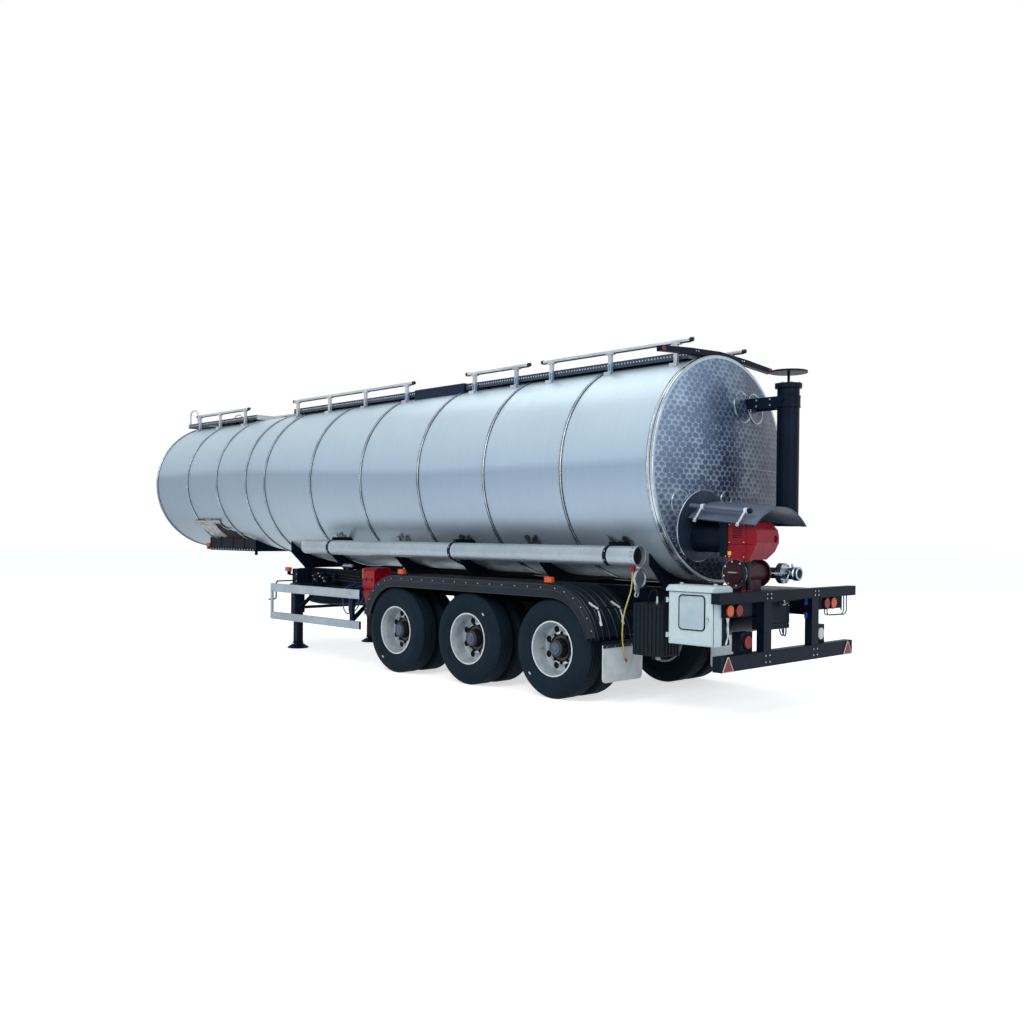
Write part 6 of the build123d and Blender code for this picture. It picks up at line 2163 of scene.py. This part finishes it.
@dataclass
class SideGear(Assembly):
    """Tube clasps and crumpled flashings, and the gear that shows between the beams and the guard."""

    shape: TankShape | None = None
    tube: Point = (0.0, 1.150, 1.500)
    tube_radius: float = 0.095
    tube_ends: tuple[float, float] = (-1.085, 4.685)
    straps: tuple[float, ...] = (-0.716, 1.619, 4.070)
    patches: tuple[tuple[float, float], ...] = (
        (-0.640, 0.30), (0.620, 0.20), (1.730, 0.22), (2.900, 0.22), (4.240, 0.20),
    )
    guard_face: float = 1.234
    beam_valves: tuple[Point, ...] = (
        (5.330, 1.040, 0.055), (5.200, 1.080, 0.040), (5.080, 1.020, 0.050), (4.900, 1.075, 0.034),
    )

    def tube_trim(self) -> None:
        """Ring the tube's ends, clasp its straps and rivet its rear collar."""
        _, y, z = self.tube
        rings = []
        for station, grow in (
            (self.tube_ends[0] + 0.016, 0.0025), (self.tube_ends[0] + 0.052, 0.002),
            (self.tube_ends[1] - 0.010, 0.002),
        ):
            profile = [
                (station - 0.006, self.tube_radius), (station - 0.004, self.tube_radius + grow),
                (station + 0.004, self.tube_radius + grow), (station + 0.006, self.tube_radius),
            ]
            rings.append(self.turned("tube_ring", profile, (0.0, y, z), "X", 48))
        lip = [
            (self.tube_ends[0] - 0.001, 0.092), (self.tube_ends[0] - 0.0025, 0.096),
            (self.tube_ends[0] + 0.001, 0.0998),
        ]
        rings.append(self.turned("tube_lip", lip, (0.0, y, z), "X", 48))
        self.merge("tube_rings", rings, Coat.BEAD)
        edges, clasps = [], []
        for station in self.straps:
            for shift in (-0.0215, 0.0215):
                profile = [
                    (station + shift - 0.004, 0.0945), (station + shift, 0.0990),
                    (station + shift + 0.004, 0.0945),
                ]
                edges.append(self.turned("strap_edge", profile, (0.0, y, z), "X", 48))
            for angle in (-0.45, 0.45):
                way = Vector((0.0, math.cos(angle), math.sin(angle)))
                clasps.append(facing(self.at(station, y, z) + way * 0.0985, way))
        self.merge("strap_edges", edges, Coat.CHASSIS)
        self.bolts("strap_bolts", (0.007, 0.0045), clasps)
        turn = [
            self.place(
                self.tube_ends[0] + 0.034, y + 0.0945 * math.cos(a), z + 0.0945 * math.sin(a),
                Vector((0, math.cos(a), math.sin(a))),
            ) for a in (-0.45, 0.0, 0.45, 0.9)
        ]
        self.bolts("tube_rivets", (0.005, 0.003, 8), turn, Coat.DARK)
        latch = self.run(
            (-1.084, 1.200, 1.236), (-1.079, 1.214, 1.206), (-1.078, 1.204, 1.172), (-1.082, 1.184, 1.156),
        )
        self.fit(Bench.rod("lid_latch", latch, 0.006, 8, smooth=True), Coat.ZINC, "hose_tube_lid")

    def flashings(self) -> None:
        """Crumple a bright flashing over each of the strap's roots on the flank."""
        rng = random.Random(7)

        def crumple(u: float, v: float, station: float, length: float) -> Vector:
            """One point of a flashing with a ragged upper edge."""
            ragged = 0.020 * math.sin(9.0 * u + station) + rng.uniform(-0.010, 0.010)
            height = 1.600 + (0.075 + ragged) * v
            crease = -0.003 + 0.017 * abs(math.sin(11.0 * u + 3.0 * v + station)) + rng.uniform(0.0, 0.007)
            return self.shape.side_at(station + length * (u - 0.5), height, 1.0, crease)

        made = [
            Bench.sheet("flashing", (16, 7), partial(crumple, station=station, length=length))
            for station, length in self.patches
        ]
        self.merge("flashings", made, Coat.FOIL, degrees=25.0)

    def guard_trim(self) -> None:
        """Groove the side guard's rails, close their ends and bolt them on."""
        seams, places, ends = [], [], []
        for side in (-1.0, 1.0):
            for low, high in ((0.855, 0.970), (0.470, 0.570)):
                for share in (0.10, 0.90):
                    z = low + (high - low) * share
                    seams.append(self.rod(
                        "rail_groove", ((3.352, side * self.guard_face, z), (5.478, side * self.guard_face, z)),
                        0.0026, 6,
                    ))
                middle = (low + high) / 2.0
                for x in (3.560, 3.600, 4.900, 4.980):
                    places.append(self.place(x, side * (self.guard_face + 0.0002), middle, sideways(side)))
                depth = sorted((side * (self.guard_face - 0.028), side * self.guard_face))
                ends.append(self.block("rail_end", (3.346, depth[0], low), (3.356, depth[1], high), 0.002))
        self.fit(Bench.join("guard_grooves", seams), Coat.GUARD)
        self.bolts("guard_bolts", (0.009, 0.005), places)
        self.fit(Bench.join("guard_ends", ends), Coat.DARK)

    def leg_gear(self) -> None:
        """Bolt the landing legs, fit their foot pins, gearbox ribs and hand crank."""
        places, pins, ribs = [], [], []
        for side in (-1.0, 1.0):
            y = side * 0.660
            for z in (0.620, 0.740, 0.860, 0.980, 1.080):
                for shift in (-0.050, 0.050):
                    places.append(self.place(5.660 + shift, y + side * 0.0652, z, sideways(side)))
            pins.append(self.rod("foot_pin", ((5.660, y - 0.085, 0.060), (5.660, y + 0.085, 0.060)), 0.013, 12))
            for z in (0.560, 0.900):
                ribs.append(self.block(
                    "leg_band", (5.660 - 0.069, y - 0.069, z - 0.012), (5.660 + 0.069, y + 0.069, z + 0.012),
                    0.005,
                ))
        self.bolts("leg_bolts", (0.009, 0.007), places)
        self.merge("foot_pins", pins, Coat.ZINC)
        self.merge("leg_bands", ribs, Coat.CHASSIS)
        crank = self.run(
            (5.700, 0.715, 0.985), (5.700, 0.985, 0.985), (5.700, 1.010, 0.965), (5.700, 1.010, 0.745),
            (5.700, 1.040, 0.725), (5.700, 1.130, 0.725),
        )
        self.smooth(Bench.rod("leg_crank", crank, 0.011, 10), Coat.CHASSIS)

    def undergear(self) -> None:
        """Run brake lines and valves along the beam behind the guard, and mark the coupler's edge."""
        lines = []
        for index, z in enumerate((1.105, 1.065, 1.025)):
            y = 0.512 + 0.006 * index
            lines.append(self.rod(
                "beam_line",
                ((3.400, y, z), (4.200, y + 0.008, z - 0.030), (4.900, y, z + 0.006), (5.560, y, z - 0.012)),
                0.0075, 8, smooth=True,
            ))
        self.merge("beam_lines", lines, Coat.HOSE)
        blue = []
        for x, lean in ((4.170, 0.03), (4.390, -0.07)):
            blue.append(self.rod(
                "air_line_blue",
                (
                    (x, 0.480, 1.000), (x, 0.760, 0.960), (x + lean * 0.4, 0.790, 0.820),
                    (x + lean, 0.800, 0.640), (x + lean * 1.6, 0.740, 0.560), (x + lean * 1.6, 0.560, 0.760),
                    (x + lean, 0.480, 0.960),
                ), 0.008, 8, smooth=True,
            ))
        self.merge("air_lines_blue", blue, Coat.ACCENT)
        bodies = []
        for x, z, size in self.beam_valves:
            bodies.append(self.block(
                "valve", (x - size, 0.506, z - size), (x + size, 0.506 + 1.6 * size, z + size), 0.010, 3,
            ))
            bodies.append(self.turned(
                "valve_cap",
                [(0.0, 0.0001), (0.0, size * 0.55), (size * 0.5, size * 0.5), (size * 0.55, 0.0001)],
                (x, 0.506 + 1.6 * size, z), "Y", 20,
            ))
        self.merge("beam_valves", bodies, Coat.CHASSIS)
        places = [
            self.place(x + a, 0.600, z + b, LEFT) for x, z, _ in self.beam_valves[:3]
            for a, b in ((0.02, 0.024), (-0.02, -0.020))
        ]
        self.bolts("valve_unions", (0.011, 0.020), places)
        places = [self.place(7.05 + 0.085 * index, 0.606, 1.408, LEFT) for index in range(17)]
        self.bolts("coupler_bolts", (0.012, 0.008), places)

    def lamps(self) -> None:
        """Frame the amber side lamps."""
        frames = []
        for x, y, z in (
            (0.050, 1.214, 1.203), (2.512, 1.214, 1.203), (5.800, 0.745, 1.120), (8.512, 0.590, 1.440),
        ):
            for side in (-1.0, 1.0):
                face = side * (y + 0.0222)
                points = [
                    self.at(x + a, face, z + 0.029 + b)
                    for a, b in ((-0.049, -0.026), (0.049, -0.026), (0.049, 0.026), (-0.049, 0.026))
                ]
                frames.append(Bench.rod("lamp_frame", points, 0.003, 6, closed=True))
        self.fit(Bench.join("side_lamp_frames", frames), Coat.LENS_AMBER)

    def build(self) -> None:
        """Build the side's fittings."""
        self.tube_trim()
        self.flashings()
        self.guard_trim()
        self.leg_gear()
        self.undergear()
        self.lamps()


# Loose fittings along the left side


@dataclass
class SmallGear(Assembly):
    """The painted shade in the tube's mouth, its hanging bracket, the moulded tank's cap and valve, and other
    small parts.
    """

    shape: TankShape | None = None
    tube: Point = (-1.085, 1.150, 1.500)
    box: tuple[float, ...] = (3.280, 3.530, 0.794, 1.056, 0.760, 1.246)
    ribbed: tuple[float, ...] = (-1.270, -0.885, 0.726, 1.012, 0.530, 1.035)
    rim: tuple[tuple[float, float], ...] = (
        (6.947, 1.549), (7.164, 1.656), (7.355, 1.725), (7.565, 1.764), (7.618, 1.854), (7.844, 1.867),
        (8.145, 1.855), (8.469, 1.825),
    )

    def tube_mouth(self) -> None:
        """Put a dark disc of painted shade inside the tube's bore and hang a bracket under its lid."""
        x, y, z = self.tube
        # A dark disc of painted shade inside the tube's bore.
        bore_shade = [(x + 0.050, 0.0001), (x + 0.047, 0.070), (x + 0.050, 0.0912), (x + 0.054, 0.0912)]
        self.smooth(self.turned("tube_bore_shade", bore_shade, (0.0, y, z), "X", 40), Coat.DARK)
        plate = self.block("bracket_plate", (-1.0885, 1.150, 1.140), (-1.0835, 1.205, 1.212), 0.0015)
        loop = self.run(
            (-1.082, 1.196, 1.156), (-1.078, 1.216, 1.128), (-1.078, 1.186, 1.104), (-1.081, 1.152, 1.122),
            (-1.082, 1.160, 1.156),
        )
        ring = Bench.rod("bracket_ring", loop, 0.006, 8, smooth=True)
        pin = self.rod("bracket_pin", ((-1.083, 1.165, 1.190), (-1.083, 1.165, 1.250)), 0.0055, 8)
        self.merge("lid_bracket", [plate, ring, pin], Coat.ZINC, "hose_tube_lid")

    def moulded_tank(self) -> None:
        """Cap the moulded tank, loop its hose and fit its drain valve."""
        z0, z1 = self.ribbed[4:]
        cap = self.turned(
            "vent_plug",
            [
                (z1 - 0.006, 0.012), (z1 + 0.020, 0.013), (z1 + 0.024, 0.010), (z1 + 0.060, 0.009),
                (z1 + 0.072, 0.006), (z1 + 0.074, 0.0001),
            ], (-1.134, 0.930, 0.0), "Z", 20,
        )
        self.smooth(cap, Coat.WHITE)
        hose = self.rod(
            "vent_hose",
            (
                (-1.134, 0.930, z1 + 0.070), (-1.136, 0.930, z1 + 0.120), (-1.100, 0.930, z1 + 0.145),
                (-1.050, 0.930, z1 + 0.120), (-1.020, 0.925, z1 + 0.050), (-1.010, 0.900, z1 - 0.004),
            ), 0.0045, 8, smooth=True,
        )
        self.smooth(hose, Coat.HOSE)
        valve = self.turned(
            "drain_valve",
            [
                (z0 + 0.004, 0.014), (z0 - 0.018, 0.014), (z0 - 0.020, 0.021), (z0 - 0.036, 0.021),
                (z0 - 0.038, 0.012), (z0 - 0.046, 0.0001),
            ], (-1.125, 0.900, 0.0), "Z", 20,
        )
        lever = self.rod(
            "drain_lever",
            ((-1.125, 0.905, z0 - 0.028), (-1.150, 0.925, z0 - 0.030), (-1.185, 0.945, z0 - 0.024)), 0.006, 8,
        )
        self.merge("drain_valve", [valve, lever], Coat.ZINC)

    def red_box(self) -> None:
        """Edge the red box in ochre, hem its lid and add its latches."""
        x0, x1, y0, y1, _, z1 = self.box
        edge = self.block(
            "box_edge", (x1 - 0.010, y1 - 0.040, z1 - 0.140), (x1 + 0.003, y1 + 0.002, z1 - 0.012), 0.002,
        )
        self.fit(edge, Coat.OCHRE)
        hems = [self.rod(
            "lid_line", ((x0 + 0.006, y1 + 0.0006, z1 - 0.150), (x1 - 0.006, y1 + 0.0006, z1 - 0.150)), 0.0035,
            6,
        )]
        hems.append(self.rod(
            "lid_line", ((x0 - 0.0006, y0 + 0.01, z1 - 0.150), (x0 - 0.0006, y1 - 0.006, z1 - 0.150)), 0.0035,
            6,
        ))
        self.fit(Bench.join("box_lines", hems), Coat.DARK)
        latches = [
            self.block("latch", (x - 0.010, y1 - 0.001, z1 - 0.175), (x + 0.010, y1 + 0.007, z1 - 0.125), 0.002)
            for x in (x0 + 0.05, x1 - 0.08)
        ]
        self.fit(Bench.join("box_latches", latches), Coat.BORDER)

    def frame_bits(self) -> None:
        """Put the pale cylinder, the loop and the cabinet's dark gusset in place."""
        gusset = self.block("cabinet_gusset", (-1.9735, 0.945, 0.705), (-1.9685, 1.062, 1.088), 0.0015)
        Bench.pick(gusset, lambda middle, normal: normal.z < -0.9 and middle.z < 0.72)
        bpy.ops.transform.translate(value=(0.0, 0.012, 0.0))
        Bench.done()
        self.fit(gusset, Coat.CHASSIS)
        pale = [
            (4.455, 0.0001), (4.455, 0.018), (4.470, 0.024), (4.660, 0.024), (4.675, 0.018), (4.675, 0.0001),
        ]
        self.smooth(self.turned("air_filter", pale, (0.0, 0.560, 1.236), "X", 24), Coat.TUBE)
        seat = self.block("air_filter_seat", (4.520, 0.500, 1.180), (4.610, 0.575, 1.216), 0.004)
        self.fit(seat, Coat.CHASSIS)
        loop = self.run(
            (-1.978, 0.975, 0.955), (-1.982, 1.000, 0.880), (-1.982, 0.985, 0.790), (-1.980, 0.950, 0.750),
        )
        self.smooth(Bench.rod("hose_loop", loop, 0.012, 10, smooth=True), Coat.ZINC)

    def spare_gear(self) -> None:
        """Hang coils and dark lines behind the side guard."""
        coils = []
        for x in (3.720, 3.780, 3.840):
            coils.append(self.rod(
                "hanger_line",
                (
                    (x, 0.480, 1.060), (x + 0.010, 0.700, 1.050), (x + 0.050, 0.752, 0.900),
                    (x + 0.120, 0.735, 0.850), (x + 0.200, 0.700, 0.920), (x + 0.220, 0.480, 1.040),
                ), 0.009, 8, smooth=True,
            ))
        self.merge("hanger_lines", coils, Coat.HOSE)

    def rim_height(self, station: float) -> float:
        """The height of the torn gap's upper edge at a station."""
        for (rear, low), (front, high) in zip(self.rim, self.rim[1:]):
            if station <= front:
                return low + (high - low) * (station - rear) / (front - rear)
        return self.rim[-1][1]

    def nose_foil(self, side: float, name: str) -> None:
        """Lay a dark sheet of painted shade over the coupler frame, where its opening lies in shadow, and
        crumple bright foil round it.
        """
        rng = random.Random(11)

        def gap(u: float, v: float) -> Vector:
            """The dark sheet of painted shade, from the frame's top up to the opening's torn edge."""
            station = 6.96 + 1.36 * u
            top = self.rim_height(station) - 0.004
            low = min(1.590, top - 0.004)
            return self.shape.side_at(station - 0.07 * u * v, low + (top - low) * v, side, 0.018)

        def edge(u: float, v: float) -> Vector:
            """The bright rim along the torn edge."""
            station = 6.96 + 1.50 * u
            wave = 0.007 * math.sin(31.0 * u) + 0.004 * math.sin(67.0 * u)
            height = self.rim_height(station) - 0.016 + wave + 0.036 * v
            return self.shape.side_at(
                station, height, side, 0.001 + 0.026 * (1.0 - v) + rng.uniform(0.0, 0.003),
            )

        def flap(u: float, v: float) -> Vector:
            """The torn sheet that hangs down across the opening."""
            station = 7.75 + (0.42 + 0.10 * v) * u
            top = self.rim_height(station) - 0.010 - 0.05 * u * u
            low = 1.603 + 0.010 * math.sin(14.0 * u)
            lift = 0.024 + 0.006 * abs(math.sin(9.0 * u + 4.0 * v)) + rng.uniform(0.0, 0.003)
            return self.shape.side_at(station, low + (top - low) * v, side, lift)

        # The dark sheet is painted shade in the opening.
        self.smooth(Bench.sheet(f"nose_gap_shade_{name}", (40, 8), gap), Coat.DARK)
        torn = [Bench.sheet("edge", (60, 4), edge), Bench.sheet("flap", (18, 9), flap)]
        self.merge(f"nose_foil_{name}", torn, Coat.FOIL, degrees=28.0)

    def build(self) -> None:
        """Build the small parts."""
        self.tube_mouth()
        self.moulded_tank()
        self.red_box()
        self.frame_bits()
        self.spare_gear()
        for side, name in SIDES:
            self.nose_foil(side, name)


# Studio


@dataclass
class Studio:
    """The floor, the lamps, the world and the camera."""

    datum: Datum
    focal_mm: float = 35.86
    sensor_mm: float = 36.0
    yaw: float = math.radians(44.2338)
    pitch: float = math.radians(-0.4057)
    roll: float = math.radians(0.5254)
    stand: Point = (-7.2509, 8.865, 1.7143)
    rise: float = 0.0273

    def camera(self) -> None:
        """Set up the camera where the photograph was taken from."""
        data = bpy.data.cameras.new("camera")
        data.lens = self.focal_mm
        data.sensor_width = self.sensor_mm
        data.shift_y = self.rise
        data.clip_end = 500.0
        ahead = Vector((
            math.cos(self.pitch) * math.cos(self.yaw), -math.cos(self.pitch) * math.sin(self.yaw),
            math.sin(self.pitch),
        ))
        right = ahead.cross(UP).normalized()
        up = right.cross(ahead)
        cosine, sine = math.cos(self.roll), math.sin(self.roll)
        right, up = cosine * right + sine * up, -sine * right + cosine * up
        turn = Matrix((right, up, -ahead)).transposed().to_4x4()
        camera = bpy.data.objects.new("camera", data)
        camera.matrix_world = Matrix.Translation(self.datum.at(*self.stand)) @ turn
        bpy.context.scene.collection.objects.link(camera)
        bpy.context.scene.camera = camera

    def floor(self) -> None:
        """Lay the pale floor under the trailer."""
        bpy.ops.object.select_all(action="DESELECT")
        bpy.ops.mesh.primitive_plane_add(size=160.0, location=(0, 0, 0))
        floor = Bench.name(bpy.context.active_object, "floor")
        Bench.settle(floor)
        material = bpy.data.materials.new("floor")
        material.use_nodes = True
        graph = Graph(material.node_tree)
        output = graph.add("ShaderNodeOutputMaterial")
        matt = graph.add("ShaderNodeBsdfDiffuse", Color=(0.8, 0.81, 0.82, 1.0))
        glow = graph.add("ShaderNodeEmission", Color=(1.0, 1.0, 1.0, 1.0), Strength=0.62)
        both = graph.add("ShaderNodeAddShader")
        graph.put(both, 0, matt.outputs[0])
        graph.put(both, 1, glow.outputs[0])
        path = graph.add("ShaderNodeLightPath")
        seen = graph.maths("MAXIMUM", path.outputs["Is Camera Ray"], path.outputs["Is Glossy Ray"])
        switch = graph.add("ShaderNodeMixShader", Fac=seen)
        graph.put(switch, 1, matt.outputs[0])
        graph.put(switch, 2, both.outputs[0])
        graph.put(output, "Surface", switch.outputs[0])
        floor.data.materials.append(material)
        floor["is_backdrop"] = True

    def world(self) -> None:
        """Light the scene softly all round, with a white background."""
        world = bpy.data.worlds.new("studio")
        world.use_nodes = True
        graph = Graph(world.node_tree)
        output = graph.add("ShaderNodeOutputWorld")
        light = graph.add("ShaderNodeBackground", Color=(0.86, 0.93, 1.0, 1.0), Strength=0.5)
        white = graph.add("ShaderNodeBackground", Color=(1.0, 1.0, 1.0, 1.0), Strength=1.0)
        path = graph.add("ShaderNodeLightPath")
        seen = graph.maths("MAXIMUM", path.outputs["Is Camera Ray"], path.outputs["Is Glossy Ray"])
        seen = graph.maths("MAXIMUM", seen, path.outputs["Is Transmission Ray"])
        switch = graph.add("ShaderNodeMixShader", Fac=seen)
        graph.put(switch, 1, light.outputs[0])
        graph.put(switch, 2, white.outputs[0])
        graph.put(output, "Surface", switch.outputs[0])
        bpy.context.scene.world = world

    def lamp(self, name: str, place: Point, aim: Point, size: float, power: float, colour: RGB) -> None:
        """Hang one soft square lamp.

        Args:
            name: the lamp's name.
            place: where it hangs.
            aim: what it points at.
            size: its side.
            power: its power in watts.
            colour: its colour.
        """
        data = bpy.data.lights.new(name, "AREA")
        data.size = size
        data.energy = power
        data.color = colour
        lamp = bpy.data.objects.new(name, data)
        lamp.location = place
        lamp.rotation_mode = "QUATERNION"
        lamp.rotation_quaternion = (Vector(aim) - Vector(place)).to_track_quat("-Z", "Y")
        bpy.context.scene.collection.objects.link(lamp)

    def build(self) -> None:
        """Set the whole studio up."""
        bpy.context.scene.view_settings.view_transform = "Standard"
        self.camera()
        self.floor()
        self.world()
        self.lamp("key", (-6.0, 12.0, 11.0), (0.0, 0.0, 1.8), 9.0, 1150.0, (1.0, 0.98, 0.95))
        self.lamp("fill", (-16.0, 3.0, 6.0), (0.0, 0.0, 1.5), 8.0, 520.0, (0.92, 0.96, 1.0))
        self.lamp("top", (4.0, -3.0, 14.0), (0.0, 0.0, 2.0), 10.0, 520.0, (0.95, 0.98, 1.0))


# Cords


@dataclass
class Cords(Assembly):
    """The yellow earthing cord and the burner's two hoses."""

    earth_route: tuple[Point, ...] = (
        (-0.985, 1.130, 1.345), (-0.985, 1.130, 1.205), (-0.902, 1.092, 1.065), (-0.812, 1.045, 0.930),
        (-0.762, 1.005, 0.790), (-0.728, 0.965, 0.668), (-0.714, 0.930, 0.560), (-0.714, 0.890, 0.462),
    )
    earth_length: float = 0.978
    hose_routes: tuple[tuple[Point, ...], ...] = (
        (
            (-1.885, 0.592, 1.4797), (-1.885, 0.592, 1.405), (-1.899, 0.600, 1.326), (-1.890, 0.592, 1.250),
            (-1.890, 0.592, 1.1786),
        ),
        (
            (-1.940, 0.590, 1.4797), (-1.940, 0.590, 1.405), (-1.950, 0.598, 1.326), (-1.954, 0.590, 1.250),
            (-1.954, 0.590, 1.1786),
        ),
    )
    hose_lengths: tuple[float, ...] = (0.3026, 0.3022)

    def line(self, name: str, route: Sequence[Point], radius: float, coat: Coat) -> Piece:
        """One cord as a smooth spline with its route's points as control points."""
        obj = Bench.curve(name, self.run(*route), radius)
        obj.data.splines[0].resolution_u = 8
        obj.data.bevel_resolution = 4
        obj.data.materials.append(self.paints.get(coat))
        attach(obj, TRAILER)
        LOG.info("%s on %s: cord", name, TRAILER)
        return obj

    def build(self) -> None:
        """Run the cord and both hoses."""
        earth = self.line("earthing_cord", self.earth_route, 0.007, Coat.CORD)
        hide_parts("earth_cord")
        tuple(self.at(*self.earth_route[0]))
        for index, route in enumerate(self.hose_routes, 1):
            hose = self.line(f"burner_hose_{index}", route, 0.016, Coat.HOSE)
            if index == 1:
                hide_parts("burner_hoses")
            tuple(self.at(*route[0]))


def corners(box: tuple[Vector, Vector]) -> list[list[float]]:
    """A box as plain lists of numbers."""
    return [list(corner) for corner in box]


def main() -> None:
    """Build the dressed trailer in order."""
    logging.basicConfig(level=logging.INFO, format="%(name)s: %(message)s")
    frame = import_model()
    solid_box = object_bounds()
    low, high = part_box("tyres_left_1")
    datum = Datum((low.x + high.x) / 2.0)
    Studio(datum).build()
    paints = Paintbox()
    coat_solids(paints, frame["nodes"])
    shape = TankShape(datum)
    TankTrim(datum, paints, shape=shape).build()
    Wheels(datum, paints).build()
    Guards(datum, paints).build()
    RearGear(datum, paints, shape=shape).build()
    RearFrame(datum, paints).build()
    TopDeck(datum, paints, shape=shape).build()
    SideGear(datum, paints, shape=shape).build()
    SmallGear(datum, paints, shape=shape).build()
    Cords(datum, paints).build()
    {"cad": corners(solid_box), "visual": corners(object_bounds())}


if __name__ == "__main__":
    main()
